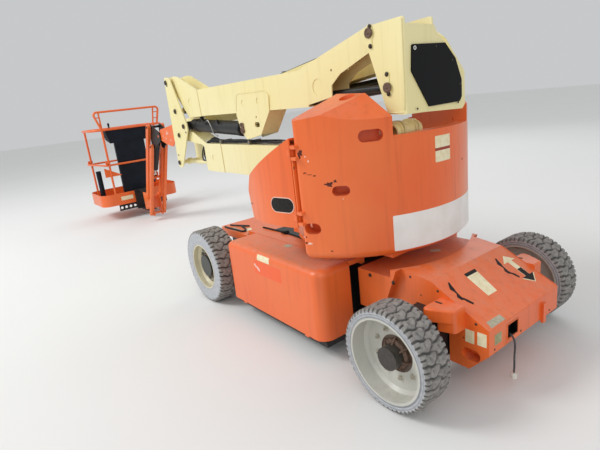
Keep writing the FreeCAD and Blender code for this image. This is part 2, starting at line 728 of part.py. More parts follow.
def counterweight():
    outer = swing_disc(swing_radius, cw_bottom, cw_ear_crest_top)
    lower_rim = [e for e in outer.Edges if abs(e.BoundBox.ZMin - cw_bottom) < 1 and e.BoundBox.ZLength < 1]
    outer = outer.makeFillet(cw_edge_round, lower_rim)
    body = outer.cut(box(swing_station - 900, cw_front, -900, 900, 0, 3000))
    for side in (-1, 1):
        for ridge_x, ridge_z, fall_x, fall_y in ((cw_front, cw_ear_crest_top - 2, 0.05, 0.311),
                                                 (cw_front + cw_ridge_length, cw_ear_crest_top - 13, 0.70, 0.45)):
            body = body.cut(ear_facet(side, ridge_x, ridge_z, fall_x, fall_y))
    corners = [e for e in body.Edges if e.BoundBox.ZLength > 400 and abs(e.BoundBox.XMax - cw_front) < 1
               and abs(abs(e.BoundBox.YMin) - (swing_radius ** 2 - cw_front_ahead ** 2) ** 0.5) < 3]
    body = body.makeFillet(cw_corner_round, corners)
    well = box(cw_front - 10, swing_station + swing_radius, -cw_ear_inner, cw_ear_inner, cw_bottom - 5, 3000)
    body = body.cut(well.common(swing_disc(swing_radius - cw_wall_thickness, cw_bottom - 5, 3000)))
    body = body.cut(box(cw_front - 10, 3000, -cw_ear_inner, cw_ear_inner, cw_wall_top, 3000))
    body = body.cut(cyl_y(turret_station, lower_pin_height, pivot_tube_radius + 20, stack_near - 40, stack_far + 40))
    for side in (-1, 1):
        for angle, z, length, height in ((35.3, cw_wall_top + 13, 133, 64), (48.9, cw_wall_top - 266, 98, 55),
                                         (62.9, cw_wall_top - 479, 100, 65)):
            body = body.cut(radial_slot(side, angle, z, length, height, pocket_depth))
        sx = cw_front + scoop_ahead
        sy = side * (cw_ear_inner + scoop_radius + 10)
        body = body.cut(cyl_z(sx, sy, scoop_radius, cw_ear_crest_top - scoop_depth, cw_ear_crest_top + 100))
        hole = Part.makeCylinder(lug_hole_radius, 95, vec(sx, sy, cw_ear_crest_top - 48), vec(0, -side, 0))
        body = body.cut(hole)
    x = cw_front - hood_gap / 2
    for side in (-1, 1):
        y = side * hood_hinge_y
        for z in hood_hinge_heights:
            pieces = [body, cyl_z(x, y, hood_hinge_pin, z - 40, z + 40)]
            for z0 in (z - 40, z + 22):
                y0, y1 = sorted((y, side * (hood_hinge_y - 25)))
                pieces.append(cyl_z(x, y, hood_hinge_radius, z0, z0 + 18))
                pieces.append(box(x, cw_front + 45, y0, y1, z0, z0 + 18))
            body = fuse(pieces)
    nodes["counterweight"] = body


def hood(side, name):
    rear = cw_front - hood_gap

    def shape(shrink, radius, inner_y, floor, end):
        corners = [(hood_nose_station + shrink, hood_nose_height, 40),
                   (hood_shoulder_station + shrink * 0.6, hood_shoulder_height - shrink * 0.4, 40),
                   (end, hood_top_height - shrink, 0),
                   (end, floor, 0),
                   (hood_nose_station + 60 + shrink, floor, 30)]
        y0, y1 = sorted((side * inner_y, side * 900))
        return slab_xz(corners, y0, y1).common(swing_disc(radius, 0, 3000))

    skin = swing_radius - hood_skin_gap
    outer = shape(0, skin, hood_inner, hood_bottom, rear)
    inner = shape(hood_wall, skin - hood_wall, hood_inner - 20, hood_bottom - 40, rear + 5)
    shell = outer.cut(inner)
    x = cw_front - hood_gap / 2
    y = side * hood_hinge_y
    y0, y1 = sorted((y, side * (hood_hinge_y - 14)))
    for z in hood_hinge_heights:
        tube = fuse([cyl_z(x, y, hood_hinge_radius, z - 20, z + 20), box(x - 36, x - 0.5, y0, y1, z - 20, z + 20)])
        shell = shell.fuse(tube.cut(cyl_z(x, y, hood_hinge_pin + pin_gap, z - 25, z + 25)))
    nodes["side_hood_" + name] = shell.removeSplitter()


# Tower: lower boom, link, mid boom and their levelling rods
def levelling_rod(name, left, right):
    bar = rod_xz(left, right, rod_radius, stack_y)
    eyes = [cyl_y(p[0], p[1], eye_radius - 8, stack_y - 22, stack_y + 22) for p in (left, right)]
    body = fuse([bar] + eyes)
    for p in (left, right):
        body = body.cut(cyl_y(p[0], p[1], pin_radius + pin_gap, stack_y - 30, stack_y + 30))
    nodes[name] = body


def hollow_box(x0, x1, z0, z1):
    outer = box(x0, x1, stack_near, stack_far, z0, z1)
    inner = box(x0 - 5, x1 + 5, stack_near + boom_wall, stack_far - boom_wall, z0 + boom_wall, z1 - boom_wall)
    return outer.cut(inner)


def side_plates(corners, thickness, spread=0.0):
    near = slab_xz(corners, stack_near - spread, stack_near - spread + thickness)
    far = slab_xz(corners, stack_far + spread - thickness, stack_far + spread)
    return [near, far]


def dimple(x, z, radius, spread):
    # Shallow round recess in both outer faces of the boom's side plates
    near = cyl_y(x, z, radius, stack_near - spread - 1, stack_near - spread + 4)
    far = cyl_y(x, z, radius, stack_far + spread - 4, stack_far + spread + 1)
    return fuse([near, far])


def lower_boom():
    pin_x, pin_z = link_station, lower_pin_height
    top, bottom = lower_box_top, lower_box_bottom
    head = [(pin_x - 45, pin_z + 10, 35), (pin_x + 30, pin_z + 48, 20), (-920, top + 114, 30),
            (-650, top + 4, 20), (-378, top + 4, 0), (-364, bottom - 3, 0), (-661, bottom - 4, 6),
            (-664, top - 14, 125), (pin_x + 12, pin_z - 56, 30)]
    tail_x = turret_station
    tail = [(tail_x - 316, bottom, 0), (tail_x - 316, top, 0), (tail_x - 50, pin_z + 58, 30),
            (tail_x + 54, pin_z + 58, 48), (tail_x + 54, pin_z - 24, 30), (tail_x + 4, pin_z - 64, 30),
            (tail_x - 176, bottom, 0)]
    parts = [hollow_box(-720, tail_x - 216, bottom, top)]
    parts += side_plates(head, boom_wall + 4, 3)
    parts += side_plates(tail, boom_wall)
    parts.append(cyl_y(pin_x, pin_z, eye_radius, stack_near - 3, stack_far + 3))
    parts.append(cyl_y(tail_x, pin_z, pivot_tube_radius, stack_near - 28, stack_far + 28))
    body = fuse(parts)
    body = body.cut(cyl_y(pin_x, pin_z, pin_radius + pin_gap, stack_near - 20, stack_far + 20))
    body = body.cut(cyl_y(tail_x, pin_z, pivot_tube_radius - 9, stack_near - 40, stack_far + 40))
    nodes["lower_boom"] = body.cut(dimple(-546, top - 130, 30, 3))
    rod_left = (pin_x - rod_offset_x, pin_z - rod_offset_z)
    rod_right = (turret_station - rod_offset_x, pin_z - rod_offset_z)
    levelling_rod("lower_levelling_rod", rod_left, rod_right)


def mid_boom():
    top_x, top_z = link_top_station, link_top_height
    right_x = upright_station
    top, bottom = mid_box_top, mid_box_bottom
    head = [(top_x - 42, top_z - 4, 38), (top_x - 12, top_z + 43, 38), (top_x + 122, top_z + 49, 30),
            (top_x + 206, top_z + 36, 20), (top_x + 595, top + 2, 10), (top_x + 612, bottom - 3, 0),
            (top_x + 340, bottom - 3, 20), (top_x + 30, top_z - 55, 40)]
    knee = [(right_x - 718, top, 60), (right_x - 55, top_z + 43, 40), (right_x + 50, top_z + 43, 45),
            (right_x + 50, top_z - 47, 45), (right_x - 60, top_z - 96, 10), (right_x - 298, bottom + 178, 10),
            (right_x - 383, bottom + 118, 10), (right_x - 388, bottom + 50, 8), (right_x - 718, bottom, 0)]
    pin = bracket_pin_station
    bracket = [(pin - 76, bottom - 15, 20), (pin - 34, bottom + 148, 20), (pin + 392, bottom + 144, 20),
               (pin + 434, bottom + 115, 25), (pin + 415, bottom - 7, 20), (pin + 264, bottom - 180, 15),
               (pin + 48, bottom - 217, 15), (pin - 28, bottom - 156, 15)]
    parts = [hollow_box(top_x + 380, right_x - 628, bottom, top)]
    parts += side_plates(head, boom_wall + 4, 3)
    parts += side_plates(knee, boom_wall)
    parts += side_plates(bracket, boom_wall + 6, 6)
    parts.append(bar_xz((pin + 406, bottom - 2), (pin + 264, bottom - 172), 10, stack_near, stack_far))
    parts.append(bar_xz((right_x - 708, top - 5), (right_x - 60, top_z + 34), 10, stack_near, stack_far))
    parts.append(cyl_y(top_x, top_z, eye_radius, stack_near - 3, stack_far + 3))
    parts.append(cyl_y(right_x, top_z, eye_radius, stack_near, stack_far))
    body = fuse(parts)
    for x in (top_x, right_x):
        body = body.cut(cyl_y(x, top_z, pin_radius + pin_gap, stack_near - 20, stack_far + 20))
    dimples = [dimple(top_x + 416, bottom + 136, 40, 3), dimple(right_x - 519, bottom + 121, 50, 0),
               dimple(pin + 49, bottom + 76, 22, 6), dimple(pin + 276, bottom + 79, 22, 6)]
    through = [cyl_y(pin + 225, bottom - 42, 9, stack_near - 10, stack_far + 10),
               cyl_y(right_x - 376, top_z - 150, 8, stack_near - 10, stack_far + 10),
               slab_xz([(pin + 190, bottom - 120, 19), (pin + 190, bottom - 80, 19), (pin + 262, bottom - 80, 19),
                        (pin + 262, bottom - 120, 19)], stack_near - 10, stack_far + 10)]
    nodes["mid_boom"] = body.cut(fuse(dimples + through))
    rod_left = (top_x + rod_offset_x, top_z - rod_offset_z)
    rod_right = (right_x + rod_offset_x, top_z - rod_offset_z)
    levelling_rod("mid_levelling_rod", rod_left, rod_right)


def tower_link():
    low_x, low_z = link_station, lower_pin_height
    top_x, top_z = link_top_station, link_top_height
    plate = [(top_x - 44, top_z + 20, 25), (top_x - 40, top_z + 56, 25), (top_x + 84, top_z + 42, 30),
             (low_x + 218, low_z + 107, 35), (low_x + 222, low_z + 52, 35), (low_x - 52, low_z - 330, 32),
             (low_x - 104, low_z - 345, 30), (low_x - 160, low_z - 322, 28)]
    y_near = stack_near - 3 - link_gap - link_plate
    y_far = stack_far + 3 + link_gap
    parts = [slab_xz(plate, y_near, y_near + link_plate), slab_xz(plate, y_far, y_far + link_plate)]
    pins = [(top_x, top_z), rod_pin_top(), (cyl_pin_station, cyl_pin_height), (low_x, low_z),
            (low_x - rod_offset_x, low_z - rod_offset_z)]
    for x, z in pins:
        parts.append(cyl_y(x, z, pin_radius, y_near - 8, y_far + link_plate + 8))
    nodes["tower_link"] = fuse(parts)


def rod_pin_top():
    return (link_top_station + rod_offset_x, link_top_height - rod_offset_z)


def ram(name, base, tip, barrel_radius, rod_radius_, y, eye_half, tip_half, base_pin, tip_pin):
    # Hydraulic cylinder: barrel with its eye on the base pin, rod that ends in an eye filled by its own pin
    dx = tip[0] - base[0]
    dz = tip[1] - base[1]
    length = math.hypot(dx, dz)
    ux, uz = dx / length, dz / length
    start = (base[0] + ux * base_pin * 1.2, base[1] + uz * base_pin * 1.2)
    mouth = (tip[0] - ux * (tip_pin * 3 + 60), tip[1] - uz * (tip_pin * 3 + 60))
    barrel = rod_xz(start, mouth, barrel_radius, y)
    bore_start = (base[0] + ux * (base_pin * 3 + 30), base[1] + uz * (base_pin * 3 + 30))
    bore = rod_xz(bore_start, (mouth[0] + ux * 5, mouth[1] + uz * 5), rod_radius_ + pin_gap, y)
    eye = cyl_y(base[0], base[1], base_pin * 2, y - eye_half, y + eye_half)
    barrel = barrel.fuse(eye).cut(bore)
    barrel = barrel.cut(cyl_y(base[0], base[1], base_pin + pin_gap, y - 200, y + 200))
    nodes[name + "_barrel"] = barrel.removeSplitter()
    rod_start = (bore_start[0] + ux * 2, bore_start[1] + uz * 2)
    rod = rod_xz(rod_start, tip, rod_radius_, y)
    nodes[name + "_rod"] = fuse([rod, cyl_y(tip[0], tip[1], tip_pin * 2, y - tip_half, y + tip_half)])


# Upright and main boom
def upright():
    left_x = upright_station
    rear, top, bottom = upright_rear, upright_top, upright_bottom
    near_y = stack_near - upright_gap - upright_plate
    mid_y0 = stack_far + upright_gap + 5
    plate = [(left_x - 50, top - 8, 30), (rear, top, 15), (rear, bottom, 20), (left_x + 101, bottom + 8, 10),
             (left_x - 10, link_top_height - 106, 10), (left_x - 50, link_top_height - 30, 30)]
    far_plate = [(main_station - 62, main_height + 10, 50), (main_station + 20, main_height + 58, 50),
                 (main_station + 100, main_height, 60), (rear, bottom + 190, 20), (rear, bottom, 10),
                 (main_station + 10, bottom, 10)]
    far_y = main_y + far_plate_gap
    back = [(near_y, bottom + 2, 0), (-136, bottom, 5), (220, bottom - 15, 10), (far_y + upright_plate, bottom + 9, 10),
            (far_y + upright_plate, bottom + 189, 25), (68, link_top_height - 88, 30), (4, link_top_height - 42, 15),
            (-22, link_top_height + 3, 5), (near_y, link_top_height + 9, 0)]
    parts = [slab_xz(plate, near_y, near_y + upright_plate), slab_xz(plate, mid_y0, mid_y0 + upright_plate),
             slab_xz(far_plate, far_y, far_y + upright_plate),
             slab_yz(back, rear - upright_plate, rear),
             box(left_x + 116, rear - 2, near_y + 2, far_y + upright_plate, bottom + 8, bottom + 20)]
    body = fuse(parts)
    bend = box(rear - upright_bend, rear + 1, near_y - 1, near_y + upright_bend, bottom - 30, top + 5)
    body = body.cut(bend.cut(cyl_z(rear - upright_bend, near_y + upright_bend, upright_bend, bottom - 40, top + 10)))
    body = fuse([body, cyl_y(left_x, link_top_height, pin_radius, near_y - 10, mid_y0 + upright_plate),
                 cyl_y(left_x + rod_offset_x, link_top_height - rod_offset_z, pin_radius, near_y - 10,
                       mid_y0 + upright_plate),
                  cyl_y(main_station, main_height, main_pin_radius, mid_y0, main_y - main_stub_gap),
                  cyl_y(main_station, main_height, main_pin_radius, main_y + main_stub_gap,
                        far_y + upright_plate + 10),
                 cyl_y(main_cyl_station, main_cyl_height, pin_radius, mid_y0, far_y + upright_plate + 6)])
    nodes["upright"] = body
    low = upright_bottom - 2
    cover = [(-215, low + 345, 10), (60, low + 347, 10), (150, low + 265, 10), (205, low + 150, 10),
             (205, low + 55, 15), (185, low + 30, 15), (-90, low + 27, 15), (-225, low + 215, 15)]
    nodes["upright_cover"] = slab_yz(cover, rear + seat, rear + 8)


def main_point(run, drop=0.0):
    return along(main_station, main_height, run, drop, slope_cos, slope_sin)


def main_boom():
    half = main_boom_width / 2
    p, q = main_point(180), main_point(main_boom_length)
    outer = bar_xz(p, q, main_boom_depth, main_y - half, main_y + half)
    p2, q2 = main_point(170), main_point(main_boom_length + 20)
    inner = bar_xz(p2, q2, main_boom_depth - 2 * boom_wall, main_y - half + boom_wall, main_y + half - boom_wall)
    parts = [outer.cut(inner)]
    mouth, lip = main_point(main_boom_length - pad_length), main_point(main_boom_length - 10)
    pads = bar_xz(mouth, lip, main_boom_depth - boom_wall, main_y - half + boom_wall / 2,
                  main_y + half - boom_wall / 2)
    hole0, hole1 = main_point(main_boom_length - pad_length - 10), main_point(main_boom_length)
    pads = pads.cut(bar_xz(hole0, hole1, fly_depth + 2 * pad_gap, main_y - fly_width / 2 - pad_gap,
                           main_y + fly_width / 2 + pad_gap))
    parts.append(pads)
    depth = main_boom_depth / 2
    base = [main_point(-50, -40) + (38,), main_point(-50, 40) + (38,), main_point(60, 70) + (10,),
            main_point(240, depth) + (0,), main_point(240, -depth) + (0,), main_point(60, -70) + (10,)]
    parts.append(slab_xz(base, main_y - half, main_y - half + boom_wall + 4))
    parts.append(slab_xz(base, main_y + half - boom_wall - 4, main_y + half))
    boss = main_pin_radius + 22
    parts.append(cyl_y(main_station, main_height, boss, stack_far + upright_gap + 5 + upright_plate + side_gap,
                       main_y - main_stub_gap))
    parts.append(cyl_y(main_station, main_height, boss, main_y + main_stub_gap, main_y + far_plate_gap - side_gap))
    lug = [main_point(main_lug_reach - 95, depth - 4) + (0,),
           main_point(main_lug_reach - 50, main_lug_drop + 30) + (20,),
           main_point(main_lug_reach + 45, main_lug_drop + 40) + (25,),
           main_point(main_lug_reach + 130, depth - 4) + (0,)]
    for y0 in (main_y - 46, main_y + 34):
        parts.append(slab_xz(lug, y0, y0 + 12))
    body = fuse(parts)
    body = body.cut(bar_xz(main_point(100, depth), main_point(main_slot_end, depth), 30, main_y - main_stub_gap,
                           main_y + main_stub_gap))
    body = body.cut(bar_xz(main_point(main_slot_end - 10, depth), main_point(main_slot_end + 50, depth), 30,
                           main_y - main_ram_slot, main_y + main_ram_slot))
    body = body.cut(cyl_y(main_station, main_height, main_pin_radius + pin_gap, -300, 500))
    nodes["main_boom"] = body


def fly_boom():
    half = fly_width / 2
    outer = bar_xz(main_point(fly_start), main_point(fly_reach - 120), fly_depth, main_y - half, main_y + half)
    inner = bar_xz(main_point(fly_start - 10), main_point(fly_reach - 128), fly_depth - 12,
                   main_y - half + 6, main_y + half - 6)
    head = [main_point(fly_reach - 480, -fly_depth / 2) + (0,), main_point(fly_reach - 90, -fly_depth / 2) + (30,),
            main_point(fly_reach + 36, -18) + (34,), main_point(fly_reach + 12, 42) + (34,),
            main_point(fly_reach - 190, fly_depth / 2 + 50) + (20,),
            main_point(fly_reach - 400, fly_depth / 2 + 110) + (30,),
            main_point(fly_reach - 540, fly_depth / 2) + (0,)]
    parts = [outer.cut(inner)]
    for y0 in (main_y - half, main_y + half - 10):
        parts.append(slab_xz(head, y0, y0 + 10))
    fx, fz = main_point(fly_reach)
    parts.append(cyl_y(fx, fz, jib_pin_radius, main_y - half - 16, main_y + half + 16))
    nodes["fly_boom"] = fuse(parts)


# Jib
def jib_point(run, drop=0.0):
    return along(jib_pin_station, jib_pin_height, run, drop, jib_cos, jib_sin)


def jib_pair(name, p, q, width, depth, extra):
    # Two like bars side by side between two pins
    half = jib_width / 2
    solids = []
    for y0 in (main_y - half, main_y + half - width):
        arm = fuse([bar_xz(p, q, depth, y0, y0 + width), cyl_y(p[0], p[1], depth / 2, y0, y0 + width),
                    cyl_y(q[0], q[1], depth / 2, y0, y0 + width)])
        for x, z in (p, q):
            arm = arm.cut(cyl_y(x, z, jib_pin_radius + pin_gap, y0 - 5, y0 + width + 5))
        solids.append(arm)
    nodes[name] = fuse(solids + extra)


def jib():
    half = jib_width / 2
    fx, fz = fly_pin_station, fly_pin_height
    ax, az = jib_pin_station, jib_pin_height
    rx, rz = ax + jib_rod_dx, az + jib_rod_dz
    cx, cz = ax + jib_cyl_dx, az + jib_cyl_dz
    plate = [(ax - 38, az + 12, 30), (ax - 12, az + 42, 30), (fx + 50, fz + 48, 30), (fx + 62, fz - 48, 30),
             (rx + 50, rz - 20, 35), (rx + 20, rz - 46, 30), (cx - 38, rz - 22, 30), (cx - 40, cz + 30, 30)]
    plate_y0 = main_y - fly_width / 2 - 6 - 10
    plate_y1 = main_y + fly_width / 2 + 6
    parts = [slab_xz(plate, plate_y0, plate_y0 + 10), slab_xz(plate, plate_y1, plate_y1 + 10)]
    parts.append(cyl_y(ax, az, jib_pin_radius, main_y - half - 6, main_y + half + 6))
    parts.append(cyl_y(cx, cz, jib_pin_radius, plate_y0 - 4, plate_y1 + 14))
    parts.append(cyl_y(rx, rz, jib_pin_radius, main_y - half - 6, plate_y0 + 5))
    parts.append(cyl_y(rx, rz, jib_pin_radius, plate_y1 + 5, main_y + half + 6))
    bracket = fuse(parts)
    bracket = bracket.cut(cyl_y(fx, fz, jib_pin_radius + pin_gap, main_y - 200, main_y + 200))
    nodes["jib_bracket"] = bracket

    foot = (foot_station, foot_height)
    foot_rod = (foot[0] + jib_rod_dx, foot[1] + jib_rod_dz)
    mount = jib_point(jib_cyl_reach)
    cross_run = jib_cyl_reach + 62
    extra = []
    for run, drop, radius in ((jib_length * 0.4, -24, 11), (cross_run, 0, 18)):
        cross = jib_point(run, drop)
        extra.append(cyl_y(cross[0], cross[1], radius, main_y - half + 5, main_y + half - 5))
    lug = [jib_point(jib_cyl_reach - 30, -30) + (25,), jib_point(cross_run + 7, -30) + (10,),
           jib_point(cross_run + 7, 30) + (10,), jib_point(jib_cyl_reach - 30, 30) + (25,)]
    for y0 in (main_y - 38, main_y + 28):
        extra.append(slab_xz(lug, y0, y0 + 10))
    jib_pair("jib_arm", (ax, az), foot, jib_arm_width, jib_arm_depth, extra)
    jib_pair("jib_levelling_rods", (rx, rz), foot_rod, jib_rod_width, jib_rod_depth, [])
    ram("jib_cylinder", (cx, cz), mount, jib_barrel_radius, jib_ram_radius, main_y, 30, 20,
        jib_pin_radius, 11)

    foot_low = foot_rod[1] - 40
    block = [(foot[0] - 60, foot[1] + 40, 20), (foot[0] + 42, foot[1] + 40, 30), (foot_rod[0] + 45, foot_low, 10),
             (foot_rod[0] - 45, foot_low, 10), (foot_rod[0] - 75, foot_low + 70, 10)]
    inner0, inner1 = main_y - half + jib_arm_width + side_gap, main_y + half - jib_arm_width - side_gap
    parts = [slab_xz(block, inner0, inner0 + 14), slab_xz(block, inner1 - 14, inner1),
             box(rotator_station, foot_rod[0] - 30, inner0, inner1, rotator_bottom + 40, rotator_top - 60),
             cyl_z(rotator_station, main_y, rotator_radius, rotator_bottom, rotator_top)]
    for x, z in (foot, foot_rod):
        parts.append(cyl_y(x, z, jib_pin_radius, main_y - half - 6, main_y + half + 6))
    foot_body = fuse(parts)
    nodes["jib_foot"] = foot_body.cut(cyl_z(rotator_station, main_y, rotator_pin + pin_gap, rotator_bottom - 5,
                                            rotator_top + 5))


# Platform
def platform_support():
    rx, ry = rotator_station, main_y
    low = rotator_bottom - side_gap - 14
    high = rotator_top + side_gap + 14
    plate_back = platform_near + seat
    back = box(plate_back, platform_near + 36, ry - 110, ry + 110, low, high)
    keel_top = platform_bottom - seat
    keel = box(platform_far + 120, platform_near + 36, ry - 90, ry + 90, platform_bottom - 62, keel_top)
    keel_cut = box(platform_far + 100, platform_near - 60, ry - 82, ry + 82, platform_bottom - 70,
                   platform_bottom - 8)
    beam = box(platform_near - 52, platform_near - 6, platform_y0 + 230, platform_y1 - 230,
               platform_bottom - keel_depth, keel_top)
    beam = beam.cut(box(platform_near - 60, platform_near - 14, platform_y0 + 220, platform_y1 - 220,
                        platform_bottom - keel_depth + 8, platform_bottom - 8))
    for index in range(4):
        for side in (-1, 1):
            y = ry + side * (135 + index * keel_hole_spacing)
            beam = beam.cut(cyl_x(y, platform_bottom - keel_depth * 0.52, keel_hole_radius, platform_near - 20,
                                  platform_near))
    top_plate = box(plate_back, rx + 60, ry - 70, ry + 70, rotator_top + side_gap, high)
    low_plate = box(plate_back, rx + 60, ry - 70, ry + 70, low, rotator_bottom - side_gap)
    pin = cyl_z(rx, ry, rotator_pin, rotator_bottom - side_gap - 1, rotator_top + side_gap + 1)
    nodes["platform_support"] = fuse([top_plate, low_plate, back, keel.cut(keel_cut), beam, pin])


def platform_pan():
    def loop(inset, z0, z1):
        corners = [(platform_far + inset, platform_y0 + inset, pan_corner - inset),
                   (platform_near - inset, platform_y0 + inset, pan_corner - inset),
                   (platform_near - inset, platform_y1 - inset, pan_corner - inset),
                   (platform_far + inset, platform_y1 - inset, pan_corner - inset)]
        return slab_xy(corners, z0, z1)

    floor = platform_bottom + pan_wall
    pan = loop(0, platform_bottom, platform_bottom + toe_height)
    pan = pan.cut(loop(pan_wall, floor, platform_bottom + toe_height + 5))
    tread = box(platform_far + tread_inset, console_back - 20, platform_y0 + tread_side_inset,
                platform_y1 - tread_side_inset,
                floor - 1, floor + tread_rise)
    nodes["platform_pan"] = fuse([pan, tread])


def corner_post_places():
    # Middle of each rounded corner of the rails on the side away from the booms
    inset = rail_corner * (1 - math.sqrt(0.5))
    return (rail_x0 + inset, rail_y0 + inset), (rail_x0 + inset, rail_y1 - inset)


def platform_rails():
    x0, x1, y0, y1 = rail_x0, rail_x1, rail_y0, rail_y1
    floor = platform_bottom + pan_wall
    corners = [(x0, y0, rail_corner), (x1, y0, rail_corner), (x1, y1, rail_corner), (x0, y1, rail_corner)]
    path = outline(corners, lambda u, v: vec(u, v, rail_height))
    first = path.OrderedEdges[0]
    section = Part.Wire(Part.makeCircle(rail_radius, first.valueAt(first.FirstParameter),
                                        first.tangentAt(first.FirstParameter)))
    solids = [path.makePipeShell([section], True, False)]
    post_near = (x1, y0 + hoop_from_end)
    post_a, post_b = corner_post_places()
    z = mid_rail_height
    mid = [vec(post_near[0], post_near[1], z), vec(x1, y1, z), vec(x0, y1, z), vec(x0, y0 + rail_corner * 0.95, z),
           vec(post_a[0], post_a[1], z)]
    solids.append(tube_path(mid, rail_radius - 2, rail_corner))
    hoop_far = y1 - hoop_from_end
    for x, y in (post_near, (x1, hoop_far), post_a, post_b, (x0, y1 - 380)):
        solids.append(cyl_z(x, y, rail_radius - 1, floor, rail_height))
    # Hoop legs as (outer foot, outer top, inner foot, inner top)
    legs = ((post_near[1], post_near[1] - 85, post_near[1] + 6, post_near[1] + 2),
            (hoop_far + 60, hoop_far + 128, hoop_far - 6, hoop_far + 40))
    hoop = [vec(x1, legs[0][0], rail_height), vec(x1, legs[0][1], hoop_height),
            vec(x1, legs[1][1], hoop_height), vec(x1, legs[1][0], rail_height)]
    solids.append(tube_path(hoop, rail_radius - 1, 45))
    for outer_foot, outer_top, inner_foot, inner_top in legs:
        solids.append(tube_leg(x1, inner_foot, inner_top, hoop_height - 4))
        for fraction in (0.35, 0.7):
            z_rung = rail_height + (hoop_height - rail_height) * fraction
            y_in = inner_foot + (inner_top - inner_foot) * fraction
            y_out = outer_foot + (outer_top - outer_foot) * fraction
            solids.append(cyl_y(x1, z_rung, 7, min(y_in, y_out), max(y_in, y_out)))
    gusset_y = post_near[1]
    gusset = slab_yz([(gusset_y - 90, mid_rail_height - 32, 8), (gusset_y + 177, mid_rail_height - 178, 8),
                      (gusset_y - 90, mid_rail_height - 178, 8)], x1 - 3, x1 + 3)
    nodes["platform_rails"] = fuse(solids + [gusset])


def tube_leg(x, y_low, y_high, z_high):
    rise = vec(0, y_high - y_low, z_high - rail_height)
    return Part.makeCylinder(rail_radius - 5, rise.Length, vec(x, y_low, rail_height), rise)


def entry_bar():
    # Sliding bar between the two posts of the entry, on a collar round each
    post_a = corner_post_places()[0]
    post_b = (rail_x1, rail_y0 + hoop_from_end)
    z = mid_rail_height
    dx, dy = post_b[0] - post_a[0], post_b[1] - post_a[1]
    span = math.hypot(dx, dy)
    ux, uy = dx / span, dy / span
    reach = rail_radius + 28
    start = vec(post_a[0] + uy * reach - ux * 30, post_a[1] - ux * reach - uy * 30, z)
    pieces = [Part.makeCylinder(rail_radius - 3, span + 60, start, vec(ux, uy, 0))]
    for px, py in (post_a, post_b):
        collar = cyl_z(px, py, rail_radius + 9, z + 30, z + 60)
        arm = box(-8, 8, -reach - 6, -rail_radius - 3, z - 8, z + 60)
        arm.rotate(vec(0, 0, 0), vec(0, 0, 1), math.degrees(math.atan2(uy, ux)))
        arm.translate(vec(px, py, 0))
        pieces.append(fuse([collar, arm]).cut(cyl_z(px, py, rail_radius - 1 + pin_gap, z + 20, z + 70)))
    nodes["entry_bar"] = fuse(pieces)


def platform_console():
    cx0, cx1 = console_back, console_front
    cy0 = platform_y0 + console_from_end
    cy1 = cy0 + console_width
    floor = platform_bottom + pan_wall

    def head_shape(shrink):
        side = slab_xz([(cx0 + shrink, console_bottom + 55 - shrink * 9, 10), (cx0 + shrink, console_top + 8 - shrink, 18),
                        (cx1 - shrink, console_top - shrink, 18), (cx1 - shrink, console_bottom - shrink * 9, 10)],
                       cy0 - 5, cy1 + 5)
        front = slab_yz([(cy0 + shrink, console_top + 15, 0), (cy0 + shrink, console_top - 60, 10),
                         (cy0 + console_taper + shrink, console_bottom - 60, 0),
                         (cy1 - console_taper - shrink, console_bottom - 60, 0),
                         (cy1 - shrink, console_top - 60, 10), (cy1 - shrink, console_top + 15, 0)],
                        cx0 - 5, cx1 + 5)
        return side.common(front)

    head = head_shape(0).cut(head_shape(console_wall))
    apron_y0 = cy0 + apron_inset
    apron_y1 = cy1 - apron_inset + 20
    outer = box(cx1 - 64, cx1 - 4, apron_y0, apron_y1, floor + seat, console_bottom + 70)
    inner = box(cx1 - 70, cx1 - 4 - console_wall, apron_y0 + console_wall, apron_y1 - console_wall, floor - 5,
                console_bottom + 80)
    document = cyl_z((rail_x0 + rail_x1) / 2 + 90, rail_y0 + 25, document_radius, floor + seat,
                     floor + document_height)
    nodes["platform_console"] = Part.makeCompound([fuse([head, outer.cut(inner)]), document])


